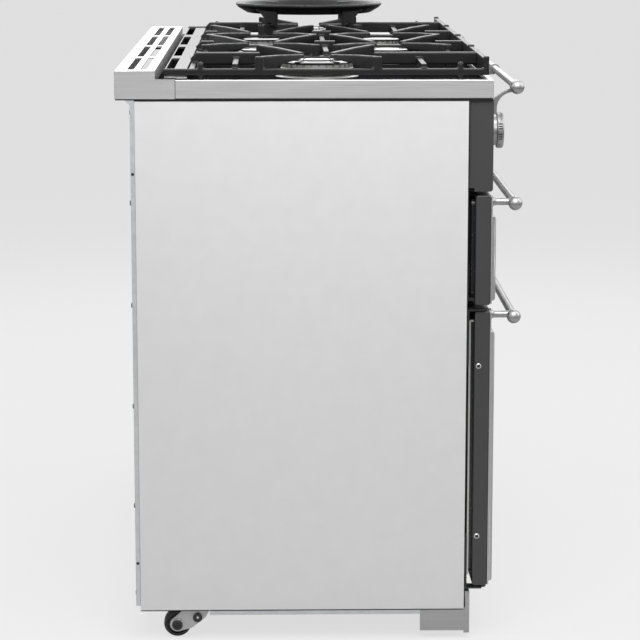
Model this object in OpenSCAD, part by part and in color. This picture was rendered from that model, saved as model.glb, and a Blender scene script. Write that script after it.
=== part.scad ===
// Range cooker, 1.2 m wide: gas hob with cast-iron grates over a grill and two ovens.
// Front faces -Y, floor at Z = 0, origin under the middle of the outer box. Millimetres.

/* [Body] */
// Width across the hob surround
body_w = 1219; // [1150:1:1300]
// Height of the side panels
panel_h = 827.2; // [800:0.1:860]
// Depth of the side panels
panel_depth = 524; // [500:1:560]
// Floor to the lower edge of the side panels
base_h = 48.8; // [46:0.1:60]
// Thickness of folded sheet steel
sheet_t = 2; // [1.2:0.1:2.4]
// Width of the folded edges of the side panels
flange_w = 14; // [10:1:20]
// Height of the back panel's upstand behind the side panels
back_t = 7; // [5:0.5:10]
// Vent slots along one row of the back panel
back_slots = 9; // [5:1:12]

/* [Hob] */
// Gap between the side panels and the hob surround
trim_gap = 1.6; // [1:0.1:3]
// Height of the hob surround
trim_h = 28.8; // [24:0.1:36]
// Width of the surround's top edge
trim_w = 14; // [10:1:16]
// Rise of the rear vent trim over the surround
vent_rise = 14.6; // [10:0.1:25]
// Depth of the raised part of the rear vent trim
vent_depth = 63.2; // [58:0.1:72]
// Depth of the low step in front of it
vent_step = 32; // [26:0.1:40]
// How far the rear vent trim stands out behind the side panels
rear_overhang = 30.4; // [20:0.1:40]
// Side margin between the surround's outer face and the grates
grate_margin = 17.5; // [16:0.5:24]
// Depth of the hob well below the surround's top
well_depth = 6.4; // [4:0.1:12]

/* [Grates] */
// Width of the grates' bars
bar_w = 9; // [7:0.5:12]
// Height of the low side rails
rail_h = 10.6; // [8:0.1:14]
// Height of the feet under the rails
grate_foot_h = 12; // [8:0.5:16]
// Height of the spine above the rails' underside
spine_h = 26.7; // [22:0.1:34]
// Width of the spine
spine_w = 14; // [10:0.5:18]
// Height of the finger tops above the rails' underside
finger_h = 29.6; // [26:0.1:38]
// Distance along the depth from a burner to its finger roots
finger_root = 93; // [85:1:100]
// Distance along the depth from a burner to its finger tips
finger_tip_y = 24; // [18:1:30]
// Distance along the width from a burner to its finger tips
finger_tip_x = 22; // [18:1:30]

/* [Burners] */
// Distance from the grates' rear end to a small rear burner
rear_burner = 151.8; // [140:0.1:160]
// Distance from the grates' front end to a small front burner
front_burner = 137.8; // [130:0.1:145]
// Radius of a large burner's crown
large_r = 59; // [50:1:62]
// Radius of a small burner's crown
small_r = 34; // [28:1:38]
// Height of a burner crown
crown_h = 13; // [10:0.5:15]
// Thickness of a burner cap
cap_t = 5; // [3:0.5:6]
// Gas ports around a large crown
large_ports = 30; // [20:1:36]
// Gas ports around a small crown
small_ports = 20; // [12:1:24]

/* [Wok ring] */
// Outer radius of the rim
wok_r = 144; // [138:1:148]
// Height of the rim above the finger tops
wok_rise = 37.4; // [30:0.1:50]
// Thickness of the ring's wall
wok_t = 7; // [5:0.5:9]
// Height of the sloping skirt
wok_skirt = 20; // [15:1:25]

/* [Control panel] */
// Height of the control panel
control_h = 145.6; // [140:0.1:160]
// Width of each dark end cap
end_cap_w = 12; // [8:1:16]
// Distance from the cooker's side to the nearest knob
knob_margin = 109.5; // [100:0.5:120]
// Height of the knob axes above the control panel's lower edge
knob_z = 87.4; // [75:0.1:95]
// Radius of a knob's skirt
knob_r = 29; // [24:0.5:32]
// Length of a knob
knob_len = 19; // [17:0.5:26]
// Travel of a gas knob when it is pressed
knob_push = 4; // [3:0.5:5]
// Radius of the valve spindles
spindle_r = 4; // [3:0.5:5]

/* [Doors] */
// Gap between the front frame and the doors
door_gap = 13; // [12:0.5:16]
// Thickness of a door's frame
door_t = 24; // [22:0.1:30]
// Thickness of a door's front skin
skin_t = 2.4; // [1.6:0.1:3]
// Height of the raised panel on a door skin
raise_t = 6.4; // [4:0.1:7]
// Height of the grill door
grill_door_h = 175.2; // [168:0.1:185]
// Gap between the control panel and the doors
top_gap = 6.4; // [5:0.1:9]
// Gap between the grill door and the oven door
split_gap = 10.4; // [9:0.1:13]
// Gap between two doors side by side
mid_gap = 4; // [3:0.5:6]
// Step from the body's side to the doors' edges
door_inset = 5; // [3:0.5:8]
// Height of the front strip that shows under the doors
reveal_h = 37.6; // [34:0.1:46]

/* [Handles] */
// Distance from a door's skin to the handle bar's axis
handle_reach = 36.6; // [32:0.1:45]
// Radius of the ball ends
ball_r = 11.2; // [9:0.1:11.5]
// Radius of the handle bars
bar_r = 6.5; // [5:0.1:8]
// Radius of the hand rail
rail_r = 6; // [5:0.1:8]
// Distance from a door's top to the handle bar's axis on the oven door
handle_drop = 9.6; // [8:0.1:14]
// Extra drop of the upper handles
upper_drop = 3.7; // [0:0.1:6]
// Height of the hand rail's axis below the hob
rail_drop = 12.4; // [10:0.1:20]

/* [Cavities] */
// Half of the width between the ovens
mullion_half = 36; // [34:1:44]
// Distance from the side panel to a cavity
cavity_side = 38.5; // [34:0.5:50]
// Space behind the cavities
cavity_back = 50; // [40:1:70]
// Corner radius of the cavities
cavity_r = 12; // [8:1:20]
// Thickness of the door seals
seal_t = 7; // [5:0.5:8]

/* [Feet and wheels] */
// Radius of the rear wheels
wheel_r = 22; // [18:0.5:22]
// Width of a rear wheel
wheel_w = 20; // [14:1:26]
// Radius of the wheels' axle bolts
axle_r = 5; // [4:0.5:6]
// Radius of a front foot's pad
foot_r = 18; // [14:1:24]

/* [Hidden] */
$fn = 48;

// Running clearance between pieces that move past each other
gap = 0.3;
// Clearance of a pin in its bore
pin_gap = 0.1;
// Overlap that makes a cut pass its face
eps = 1;

// Stations along the depth
half_d = (rear_overhang + panel_depth + door_gap + door_t + skin_t + handle_reach + ball_r) / 2;
y_rear = half_d;
y_panel_back = y_rear - rear_overhang;
y_panel_front = y_panel_back - panel_depth;
y_door_back = y_panel_front - door_gap;
y_skin_back = y_door_back - door_t;
y_skin_front = y_skin_back - skin_t;
y_bar = y_skin_front - handle_reach;
y_vent_front = y_rear - vent_depth;
y_step_front = y_vent_front - vent_step;

// Stations up the height
z_panel_top = base_h + panel_h;
z_trim = z_panel_top + trim_gap;
z_hob = z_trim + trim_h;
z_vent = z_hob + vent_rise;
z_deck = z_hob - well_depth;
z_control = z_panel_top - 0.8 - control_h;
z_knob = z_control + knob_z;
z_grill_top = z_control - top_gap;
z_grill = z_grill_top - grill_door_h;
z_oven_top = z_grill - split_gap;
z_oven = base_h + reveal_h;

// Stations across the width
half_w = body_w / 2;
x_panel = half_w - 1;
x_inner = x_panel - sheet_t;
x_door = half_w - door_inset;

// Hob layout
pitch = (body_w - 2 * grate_margin) / 4;
section_x = [for (i = [0:3]) -half_w + grate_margin + (i + 0.5) * pitch];
y_grate_front = y_skin_front + 7;
y_grate_rear = y_vent_front - 12;
y_hob = (y_grate_front + y_grate_rear) / 2;
y_large = y_hob + 12;
y_small = [y_grate_rear - rear_burner, y_grate_front + front_burner];
z_rail = z_deck + grate_foot_h;
z_finger = z_rail + finger_h;
grate_half = pitch / 2 - 1;
rail_x = grate_half - bar_w / 2;
plate_front = y_grate_rear - 37;
large_at = [[section_x[0], y_large], [section_x[3], y_large]];
small_at = [for (s = [1, 2], y = y_small) [section_x[s], y]];
bowl_lip = 9;
bowl_depth = 16;
stem_share = 0.42;
inner_r = large_r * 0.38;
inner_rise = 3;
crown_z = z_deck + 8;
cap_z = crown_z + crown_h;

// Knobs
knob_x = [for (i = [0:8]) (i - 4) * (body_w - 2 * knob_margin) / 8];
gas_knobs = [0, 1, 2, 6, 7, 8];
oven_knobs = [3, 4, 5];
y_fascia = y_skin_front;
fascia_t = 3;
y_knob = y_fascia - knob_push - 2;
y_valve = y_panel_front - 6;
spindle_len = y_valve - y_knob + 9;
manifold_r = 9;
y_manifold = y_valve + 24;
z_manifold = z_knob - 22;
x_inlet = x_inner - 36;
inlet_r = 10.5;

// Cavities, each as [x centre, z centre, width, height]
cav_in = mullion_half;
cav_out = x_panel - cavity_side;
cav_w = cav_out - cav_in;
cav_x = (cav_in + cav_out) / 2;
y_cav_back = y_panel_back - cavity_back;
frame_t = 3;
edge_z = 18;
z_grill_floor = z_grill + edge_z;
z_cav_top = z_grill_top - edge_z;
z_oven_floor = z_oven + edge_z + 10;
z_oven_roof = z_oven_top - edge_z - 4;
grill_cav = [-cav_x, (z_grill_floor + z_cav_top) / 2, cav_w, z_cav_top - z_grill_floor];
left_cav = [-cav_x, (z_oven_floor + z_oven_roof) / 2, cav_w, z_oven_roof - z_oven_floor];
right_cav = [cav_x, (z_oven_floor + z_cav_top) / 2, cav_w, z_cav_top - z_oven_floor];
cavities = [grill_cav, left_cav, right_cav];
function low_edge(c) = c[1] - c[3] / 2;
function high_edge(c) = c[1] + c[3] / 2;
seal_gap = 4;
seal_w = 9;

// Doors, each as [x centre, z centre, width, height]
door_w = x_door - mid_gap / 2;
door_x = (x_door + mid_gap / 2) / 2;
grill_door = [-door_x, (z_grill + z_grill_top) / 2, door_w, grill_door_h];
left_door = [-door_x, (z_oven + z_oven_top) / 2, door_w, z_oven_top - z_oven];
right_door = [door_x, (z_oven + z_grill_top) / 2, door_w, z_grill_top - z_oven];
door_wall = 14;
door_edge_r = 4;
plug_over = 4;
y_plug = y_panel_front - seal_t - gap;
raise_top = 34;
raise_edge = 6.4;

// Side hinges: upright pins near the doors' outer edges
pin_r = 4;
pin_x = x_door - 12.5;
pin_y = y_door_back - 15.4;
pin_depth = 12;
tongue_t = 2.6;
tongue_gap = 1.4;
leaf_t = 4;
leaf_h = 88;

// Drop-down hinge of the grill door: level pins near its lower front edge
drop_r = 3;
drop_y = y_skin_back + 4.6;
drop_z = z_grill + 8.5;
arm_t = 4;
arm_in = 9;
arm_h = 6;

// Wheels and feet
wheel_y = y_panel_back - 58.7;
wheel_in = 13;
fork_t = 4;
foot_y = y_panel_front + 34;
foot_x = half_w - 70;
plinth_return = 71;

// Extrudes a Y-Z outline along X from x0
module along_x(x0, len) {
    translate([x0, 0, 0]) rotate([90, 0, 90]) linear_extrude(len) children();
}

// Extrudes an X-Z outline along Y from y0 towards the back
module along_y(y0, len) {
    translate([0, y0 + len, 0]) rotate([90, 0, 0]) linear_extrude(len) children();
}

module rod_x(r, x0, len, y, z) {
    translate([x0, y, z]) rotate([0, 90, 0]) cylinder(h = len, r = r);
}

module rod_y(r, x, y0, len, z) {
    translate([x, y0 + len, z]) rotate([90, 0, 0]) cylinder(h = len, r = r);
}

module rod_z(r, x, y, z0, len) {
    translate([x, y, z0]) cylinder(h = len, r = r);
}

module block(x, y, z) {
    translate([x[0], y[0], z[0]]) cube([x[1] - x[0], y[1] - y[0], z[1] - z[0]]);
}

module round_rect(w, h, r) {
    square([w - 2 * r, h], center = true);
    square([w, h - 2 * r], center = true);
    for (sx = [-1, 1], sy = [-1, 1])
        translate([sx * (w / 2 - r), sy * (h / 2 - r)]) circle(r);
}

module both_sides() {
    children();
    mirror([1, 0, 0]) children();
}

// Folded side panel: a flat outer sheet with returned edges on all four sides
module side_panel() {
    difference() {
        block([x_inner - flange_w, x_panel], [y_panel_front, y_panel_back], [base_h, z_panel_top]);
        block([x_inner - flange_w - eps, x_inner],
              [y_panel_front + sheet_t, y_panel_back - sheet_t],
              [base_h + sheet_t, z_panel_top - sheet_t]);
    }
}

module side_panel_right() {
    color("gainsboro") side_panel();
}

module side_panel_left() {
    color("gainsboro") mirror([1, 0, 0]) side_panel();
}

// Back pan, with two rows of vent slots, the gas inlet's hole and the gussets under the vent trim
module back_panel() {
    slot_w = 90;
    slot_h = 8;
    slot_pitch = 2 * (half_w - 60) / back_slots;
    gusset = 9;
    color("silver") {
        difference() {
            block([-x_panel, x_panel], [y_panel_back, y_panel_back + back_t], [base_h + 8, z_panel_top]);
            block([-x_panel + sheet_t, x_panel - sheet_t],
                  [y_panel_back - eps, y_panel_back + back_t - sheet_t],
                  [base_h + 8 + sheet_t, z_panel_top - sheet_t]);
            for (i = [0:back_slots - 1], row = [0, 1])
                translate([(i - (back_slots - 1) / 2) * slot_pitch, 0, base_h + 90 + row * 30])
                    block([-slot_w / 2, slot_w / 2], [y_panel_back - eps, y_rear], [0, slot_h]);
            rod_y(manifold_r + 2, x_inlet, y_panel_back - eps, back_t + 2 * eps, z_manifold);
        }
        both_sides()
            along_x(x_panel - sheet_t, sheet_t)
                polygon([[y_panel_back + back_t - sheet_t, z_panel_top],
                         [y_panel_back + back_t - sheet_t, z_panel_top - gusset],
                         [y_panel_back + back_t, z_panel_top - gusset],
                         [y_panel_back + back_t + gusset, z_panel_top]]);
    }
}

// Base tray on two side rails and two cross rails
module base_frame() {
    rail_drop_z = 8.8;
    rear_step = 111.4;
    rail_in = 26;
    cross = 30;
    rail_front = y_panel_front + plinth_return + gap;
    rail_rear = y_panel_back - rear_step;
    color("gray") difference() {
        union() {
            block([-x_inner + flange_w, x_inner - flange_w],
                  [y_panel_front + frame_t, y_panel_back - sheet_t], [base_h, base_h + sheet_t]);
            both_sides()
                block([x_inner - rail_in, x_inner], [rail_front, rail_rear],
                      [base_h - rail_drop_z, base_h]);
            for (y = [rail_front, rail_rear - cross])
                block([-x_inner + rail_in, x_inner - rail_in], [y, y + cross],
                      [base_h - rail_drop_z, base_h]);
        }
        both_sides()
            block([x_inner - rail_in + sheet_t, x_inner - sheet_t],
                  [rail_front - eps, rail_rear + eps], [0, base_h - sheet_t]);
    }
}

// Front frame of three stiles with rails between them, one opening for each cavity
module front_frame() {
    depth = [y_panel_front, y_panel_front + frame_t];
    z_frame_top = z_control + 20;
    color("dimgray") {
        both_sides()
            block([cav_out, x_inner - flange_w], depth, [base_h, z_frame_top]);
        block([-cav_in, cav_in], depth, [base_h, z_frame_top]);
        for (z = [[base_h, low_edge(left_cav)], [high_edge(left_cav), low_edge(grill_cav)],
                  [high_edge(grill_cav), z_frame_top]])
            block([-cav_out + gap, -cav_in - gap], depth, z);
        for (z = [[base_h, low_edge(right_cav)], [high_edge(right_cav), z_frame_top]])
            block([cav_in + gap, cav_out - gap], depth, z);
    }
}

// Cavity liner: an enamelled wrapper with two shelf ledges on each side, and its back sheet
module liner(c, ledges) {
    y0 = y_panel_front + frame_t;
    y_sheet = y_cav_back - sheet_t;
    ledge = 6;
    ledge_t = 5;
    color("darkslategray") {
        along_y(y_sheet, sheet_t)
            translate([c[0], c[1]])
                round_rect(c[2] + 2 * sheet_t, c[3] + 2 * sheet_t, cavity_r + sheet_t);
        along_y(y0, y_sheet - y0 - gap)
            translate([c[0], c[1]]) difference() {
                round_rect(c[2] + 2 * sheet_t, c[3] + 2 * sheet_t, cavity_r + sheet_t);
                round_rect(c[2], c[3], cavity_r);
            }
        for (z = ledges, s = [-1, 1])
            translate([c[0] + s * (c[2] - ledge + sheet_t) / 2, y0 + 30, z - ledge_t])
                translate([-(ledge + sheet_t) / 2, 0, 0])
                    cube([ledge + sheet_t, y_cav_back - y0 - 50, ledge_t]);
    }
}

// Shelf heights: one in the grill, two in the left oven, three in the right oven
function shelves(c, n) = [for (i = [1:n]) low_edge(c) + c[3] * i / (n + 1)];
grill_shelf = [z_grill_floor + 30];
left_shelves = shelves(left_cav, 2);
right_shelves = shelves(right_cav, 3);

module grill_liner() liner(grill_cav, grill_shelf);
module left_oven_liner() liner(left_cav, left_shelves);
module right_oven_liner() liner(right_cav, right_shelves);

// Seals around the cavity openings
module oven_seals() {
    color("dimgray") for (c = cavities)
        along_y(y_panel_front - seal_t, seal_t)
            translate([c[0], c[1]]) difference() {
                round_rect(c[2] + 2 * (seal_gap + seal_w), c[3] + 2 * (seal_gap + seal_w),
                           cavity_r + seal_gap + seal_w);
                round_rect(c[2] + 2 * seal_gap, c[3] + 2 * seal_gap, cavity_r + seal_gap);
            }
}

// Wire shelf: a round border rod with flat-drawn wires that run front to back
module wire_rack(c, z) {
    rim_r = 3;
    wire_w = 3;
    wires = 12;
    w = c[2] - 8;
    y0 = y_panel_front + 45;
    y1 = y_cav_back - 25;
    for (y = [y0, y1]) rod_x(rim_r, c[0] - w / 2, w, y, z + rim_r);
    for (s = [-1, 1]) rod_y(rim_r, c[0] + s * (w / 2 - rim_r), y0, y1 - y0, z + rim_r);
    for (i = [1:wires - 1]) {
        x = c[0] - w / 2 + w * i / wires;
        block([x - wire_w / 2, x + wire_w / 2], [y0, y1], [z + rim_r, z + rim_r + wire_w]);
    }
}

module oven_racks() {
    color("silver") {
        for (z = grill_shelf) wire_rack(grill_cav, z);
        for (z = left_shelves) wire_rack(left_cav, z);
        for (z = right_shelves) wire_rack(right_cav, z);
    }
}

// One heating loop: two long runs joined by a cross run, with its ends through the cavity's back
module heating_loop(x, z, pitch_x, len) {
    tube_r = 3.5;
    y0 = y_cav_back - len;
    for (s = [-1, 1]) {
        rod_y(tube_r, x + s * pitch_x / 2, y0, len - sheet_t, z);
        translate([x + s * pitch_x / 2, y0, z]) sphere(tube_r);
    }
    rod_x(tube_r, x - pitch_x / 2, pitch_x, y0, z);
}

module heating_elements() {
    loops = 3;
    top_z = z_cav_top - 14;
    floor_z = z_oven_floor + 12;
    len = y_cav_back - y_panel_front - 70;
    color("saddlebrown") {
        for (i = [0:loops - 1])
            heating_loop(-cav_x + (i - 1) * cav_w / 3.4, top_z, cav_w / 6.8, len);
        for (s = [-1, 1])
            heating_loop(s * cav_x, floor_z, cav_w / 1.6, len);
    }
}

// Hob well with a hole for each burner, and a slotted box at the back of each section
module hob_deck() {
    plate_t = 3;
    seam = 1;
    channel = 13.6;
    slot_end = 30;
    x_edge = half_w - sheet_t;
    x_outer = section_x[3] + rail_x - bar_w / 2 - 1;
    y_plate = y_vent_front - channel;
    slot_y = [y_plate - 15.4, y_plate - 2.4];
    color("lightgray") {
        difference() {
            block([-x_edge, x_edge], [y_skin_front + 3 + sheet_t, y_vent_front],
                  [z_deck - sheet_t, z_deck]);
            for (b = large_at) rod_z(large_r, b[0], b[1], z_deck - sheet_t - eps, sheet_t + 2 * eps);
            for (b = small_at) rod_z(small_r, b[0], b[1], z_deck - sheet_t - eps, sheet_t + 2 * eps);
        }
        for (x = section_x) {
            x0 = max(x - pitch / 2 + seam / 2, -x_outer);
            x1 = min(x + pitch / 2 - seam / 2, x_outer);
            difference() {
                block([x0, x1], [plate_front, y_plate], [z_deck, z_vent]);
                block([x0 + plate_t, x1 - plate_t], [plate_front + plate_t, y_plate - 2],
                      [z_deck - eps, z_vent - plate_t]);
                block([x - pitch / 2 + slot_end, x + pitch / 2 - slot_end], slot_y,
                      [z_vent - plate_t - eps, z_vent + eps]);
            }
        }
    }
}

// Folded surround: a front nose and two side trims round the hob
module hob_surround() {
    y0 = y_skin_front + 1;
    wall = 3;
    edge = 2;
    color("lightgray") difference() {
        union() {
            block([-half_w, half_w], [y0 + edge, y_step_front], [z_trim, z_hob]);
            block([-half_w, half_w], [y0, y_step_front], [z_trim, z_hob - edge]);
            rod_x(edge, -half_w, body_w, y0 + edge, z_hob - edge);
        }
        block([-half_w + wall, half_w - wall], [y0 + wall, y_step_front + eps],
              [z_trim - eps, z_deck - sheet_t]);
        block([-half_w + trim_w, half_w - trim_w], [y0 + trim_w - 4, y_step_front + eps],
              [z_deck - sheet_t - eps, z_hob + eps]);
        block([-half_w + wall - 1, half_w - wall + 1], [y0 + wall - 1, y_step_front + eps],
              [z_deck - sheet_t - eps, z_deck]);
    }
}

// Rear vent trim: a hollow stepped box with two rows of slots in its top
module rear_vent_trim() {
    wall = 2;
    bridge = 24;
    seam = 0.9;
    slots = [[18, 11], [39, 10.5]];
    z0 = z_trim - 0.8;
    color("lightgray") difference() {
        union() {
            block([-half_w, half_w], [y_vent_front, y_rear], [z0, z_vent]);
            block([-half_w, half_w], [y_step_front + seam, y_vent_front + eps], [z0, z_hob + 0.8]);
        }
        block([-half_w + wall, half_w - wall], [y_vent_front + wall, y_rear - wall],
              [z0 - eps, z_vent - wall]);
        block([-half_w + wall, half_w - wall], [y_step_front, y_vent_front + wall + eps],
              [z0 - eps, z_deck]);
        block([-half_w + trim_w, half_w - trim_w], [y_step_front, y_vent_front],
              [z_deck - eps, z_hob + 2]);
        for (x = section_x, s = slots)
            block([x - (pitch - bridge) / 2, x + (pitch - bridge) / 2],
                  [y_rear - s[0] - s[1], y_rear - s[0]], [z_vent - wall - eps, z_vent + eps]);
    }
}

// Control panel: a folded fascia with a hole for each spindle, and the oven control housings
module control_panel() {
    x1 = x_door - end_cap_w;
    z1 = z_control + control_h;
    housing = 21;
    color("silver") {
        difference() {
            block([-x1, x1], [y_fascia, y_panel_front], [z_control, z1]);
            block([-x1 - eps, x1 + eps], [y_fascia + fascia_t, y_panel_front + eps],
                  [z_control + sheet_t, z1 - sheet_t]);
            for (x = knob_x) rod_y(spindle_r + 1, x, y_fascia - eps, fascia_t + 2 * eps, z_knob);
        }
        for (k = oven_knobs) difference() {
            block([knob_x[k] - housing, knob_x[k] + housing],
                  [y_fascia + fascia_t, y_valve + 4], [z_knob - housing, z_knob + housing]);
            rod_y(spindle_r + pin_gap, knob_x[k], y_fascia, y_valve - y_fascia + eps, z_knob);
        }
    }
}

module control_panel_ends() {
    corner = 5;
    z1 = z_control + control_h;
    color("dimgray") both_sides()
        along_x(x_door - end_cap_w, end_cap_w) difference() {
            union() {
                translate([y_fascia + corner, z_control])
                    square([y_panel_front - y_fascia - corner, control_h]);
                translate([y_fascia, z_control + corner])
                    square([corner, control_h - corner]);
                translate([y_fascia + corner, z_control + corner]) circle(corner);
            }
            translate([y_panel_front - 10, z_control - eps]) square([10 + eps, 6 + eps]);
        }
}

// Ball end of a bar: a flared ferrule that runs into the ball
module ball_end(r) {
    ferrule = 9;
    sphere(ball_r);
    translate([0, 0, -ball_r - ferrule + 3]) cylinder(h = ferrule, r1 = r, r2 = ball_r * 0.72);
}

module bar_with_balls(x0, x1, y, z, r) {
    rod_x(r, x0, x1 - x0, y, z);
    translate([x0, y, z]) rotate([0, -90, 0]) ball_end(r);
    translate([x1, y, z]) rotate([0, 90, 0]) ball_end(r);
}

rail_end = half_w - ball_r;
z_hand_rail = z_hob - rail_drop;

module hand_rail() {
    color("silver") bar_with_balls(-rail_end, rail_end, y_bar, z_hand_rail, rail_r);
}

// Rail brackets: a collar round the rail and an arm, straight above and hollow below, that runs
// down to a foot on the control panel's face
module rail_brackets() {
    collar = 3;
    width = 14;
    foot_t = 7;
    foot_h = 9;
    rise = 2.7;
    fall = 21.6;
    collar_r = rail_r + collar;
    bend = y_fascia - foot_t - y_bar - 4;
    y_c = y_fascia - foot_t - bend;
    z_c = z_hand_rail - collar_r - 1 - bend;
    at = [-rail_end + 30, -rail_end / 3, rail_end / 3, rail_end - 30];
    color("silver") for (x = at) difference() {
        union() {
            rod_x(collar_r, x - width / 2, width, y_bar, z_hand_rail);
            along_x(x - width / 2, width) difference() {
                polygon([[y_bar, z_hand_rail + rise], [y_fascia, z_hand_rail - fall],
                         [y_fascia, z_c - foot_h], [y_fascia - foot_t, z_c - foot_h],
                         [y_fascia - foot_t, z_c], [y_c, z_c], [y_c, z_c + bend],
                         [y_bar, z_c + bend]]);
                translate([y_c, z_c]) circle(bend);
            }
        }
        rod_x(rail_r, x - width, 2 * width, y_bar, z_hand_rail);
    }
}

// Door frame: an enamelled ring with rounded long edges
module door_frame(d) {
    color("dimgray") difference() {
        along_x(d[0] - d[2] / 2, d[2])
            translate([y_door_back - door_t / 2, d[1]]) round_rect(door_t, d[3], door_edge_r);
        block([d[0] - d[2] / 2 + door_wall, d[0] + d[2] / 2 - door_wall],
              [y_skin_back - eps, y_door_back + eps],
              [d[1] - d[3] / 2 + door_wall, d[1] + d[3] / 2 - door_wall]);
        children();
    }
}

// Door skin: flat steel with a raised panel below the handle
module door_skin(d) {
    raise_r = 5;
    w = d[2] - 2 * raise_edge;
    z0 = d[1] - d[3] / 2 + raise_edge;
    h = d[3] - raise_edge - raise_top;
    color("silver") difference() {
        union() {
            along_x(d[0] - d[2] / 2, d[2])
                translate([y_skin_front, d[1] - d[3] / 2 + 2]) square([skin_t, d[3] - 4]);
            intersection() {
                along_x(d[0] - w / 2, w)
                    translate([y_skin_front, z0 + h / 2]) round_rect(2 * raise_t, h, raise_r);
                translate([d[0], y_skin_front, z0])
                    linear_extrude(h) round_rect(w, 2 * raise_t, raise_r);
            }
        }
        block([d[0] - w, d[0] + w], [y_skin_front + skin_t, y_door_back],
              [z0 - raise_edge - eps, z0 + h + raise_top]);
        block([d[0] - w / 2 + 8, d[0] + w / 2 - 8],
              [y_skin_front - raise_t + skin_t, y_skin_back + eps], [z0 + 8, z0 + h - 8]);
    }
}

// Inner panel of a door: a pan that presses on the seal
module door_liner(d, c) {
    w = c[2] + 2 * (seal_gap + seal_w + plug_over);
    h = c[3] + 2 * (seal_gap + seal_w);
    color("darkslategray") {
        difference() {
            along_y(y_door_back, y_plug - y_door_back)
                translate([c[0], c[1]]) round_rect(w, h, cavity_r);
            along_y(y_door_back - eps, y_plug - y_door_back + eps - sheet_t)
                translate([c[0], c[1]]) round_rect(w - 2 * sheet_t, h - 2 * sheet_t, cavity_r - sheet_t);
        }
        difference() {
            block([d[0] - d[2] / 2 + door_wall, d[0] + d[2] / 2 - door_wall],
                  [y_door_back - sheet_t, y_door_back],
                  [d[1] - d[3] / 2 + door_wall, d[1] + d[3] / 2 - door_wall]);
            block([c[0] - w / 2 + 20, c[0] + w / 2 - 20],
                  [y_door_back - sheet_t - eps, y_door_back + eps],
                  [c[1] - h / 2 + 20, c[1] + h / 2 - 20]);
        }
    }
}

// Handle: a bar with ball ends on two posts, each on a round base
module door_handle(d, z) {
    inset = ball_r + 0.3;
    post_in = 22;
    post_r = 6;
    base_r = 10;
    base_t = 5;
    x0 = d[0] - d[2] / 2 + inset;
    x1 = d[0] + d[2] / 2 - inset;
    color("silver") {
        bar_with_balls(x0, x1, y_bar, z, bar_r);
        for (x = [x0 + post_in, x1 - post_in]) {
            rod_y(post_r, x, y_bar, -y_bar + y_skin_front, z);
            translate([x, y_skin_front, z - 1]) rotate([90, 0, 0])
                cylinder(h = base_t, r1 = base_r, r2 = base_r - 2);
        }
    }
}

z_upper_handle = z_grill_top - handle_drop - upper_drop;
z_lower_handle = z_oven_top - handle_drop;

// The grill door's frame is notched at its lower corners for the hinge arms
arm_xs = [grill_door[0] - door_w / 2 + arm_in, grill_door[0] + door_w / 2 - arm_in];

module grill_door_frame() {
    door_frame(grill_door) for (x = arm_xs) {
        block([x - arm_t / 2 - 1, x + arm_t / 2 + 1], [drop_y - arm_h / 2 - 1, y_door_back + eps],
              [z_grill - eps, drop_z + arm_h / 2 + 1]);
        rod_x(drop_r + pin_gap, x - arm_t / 2 - 5, arm_t + 10, drop_y, drop_z);
    }
}

module side_pin_holes(d, s) {
    for (z = [d[1] - d[3] / 2 - eps, d[1] + d[3] / 2 - pin_depth])
        rod_z(pin_r + pin_gap, s * pin_x, pin_y, z, pin_depth + eps);
}

module left_door_frame() door_frame(left_door) side_pin_holes(left_door, -1);
module right_door_frame() door_frame(right_door) side_pin_holes(right_door, 1);
module grill_door_skin() door_skin(grill_door);
module left_door_skin() door_skin(left_door);
module right_door_skin() door_skin(right_door);
module grill_door_liner() door_liner(grill_door, grill_cav);
module left_door_liner() door_liner(left_door, left_cav);
module right_door_liner() door_liner(right_door, right_cav);
module grill_door_handle() door_handle(grill_door, z_upper_handle);
module left_door_handle() door_handle(left_door, z_lower_handle);
module right_door_handle() door_handle(right_door, z_upper_handle);

// One side hinge: a leaf on the front frame and a tongue that carries the pin
module side_hinge(d, s, up) {
    z_edge = d[1] + up * d[3] / 2;
    z_tongue = up > 0 ? z_edge + tongue_gap : z_edge - tongue_gap - tongue_t;
    leaf_z = up > 0 ? [z_tongue - leaf_h, z_tongue + tongue_t] : [z_tongue, z_tongue + leaf_h];
    leaf_x = [pin_x - 7, x_inner + 1];
    pin_z = up > 0 ? z_edge - pin_depth + 1 : z_tongue;
    leaf = s > 0 ? leaf_x : [-leaf_x[1], -leaf_x[0]];
    block(leaf, [y_panel_front - leaf_t, y_panel_front], leaf_z);
    block(leaf, [pin_y, y_panel_front], [z_tongue, z_tongue + tongue_t]);
    rod_z(8, s * pin_x, pin_y, z_tongue, tongue_t);
    rod_z(pin_r, s * pin_x, pin_y, pin_z, pin_depth + tongue_gap + tongue_t - 1);
}

module door_hinges() {
    receiver = [27, 55];
    color("gray") {
        side_hinge(left_door, -1, 1);
        side_hinge(left_door, -1, -1);
        side_hinge(right_door, 1, 1);
        side_hinge(right_door, 1, -1);
        for (x = arm_xs) {
            block([x - arm_t / 2, x + arm_t / 2], [drop_y, y_panel_front],
                  [drop_z - arm_h / 2, drop_z + arm_h / 2]);
            rod_x(arm_h / 2, x - arm_t / 2, arm_t, drop_y, drop_z);
            rod_x(drop_r, x - arm_t / 2 - 4.6, arm_t + 9.2, drop_y, drop_z);
            block([x - arm_t / 2, x + arm_t / 2], [y_panel_front - leaf_t, y_panel_front],
                  [drop_z - arm_h / 2, drop_z + receiver[1]]);
        }
    }
}

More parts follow.
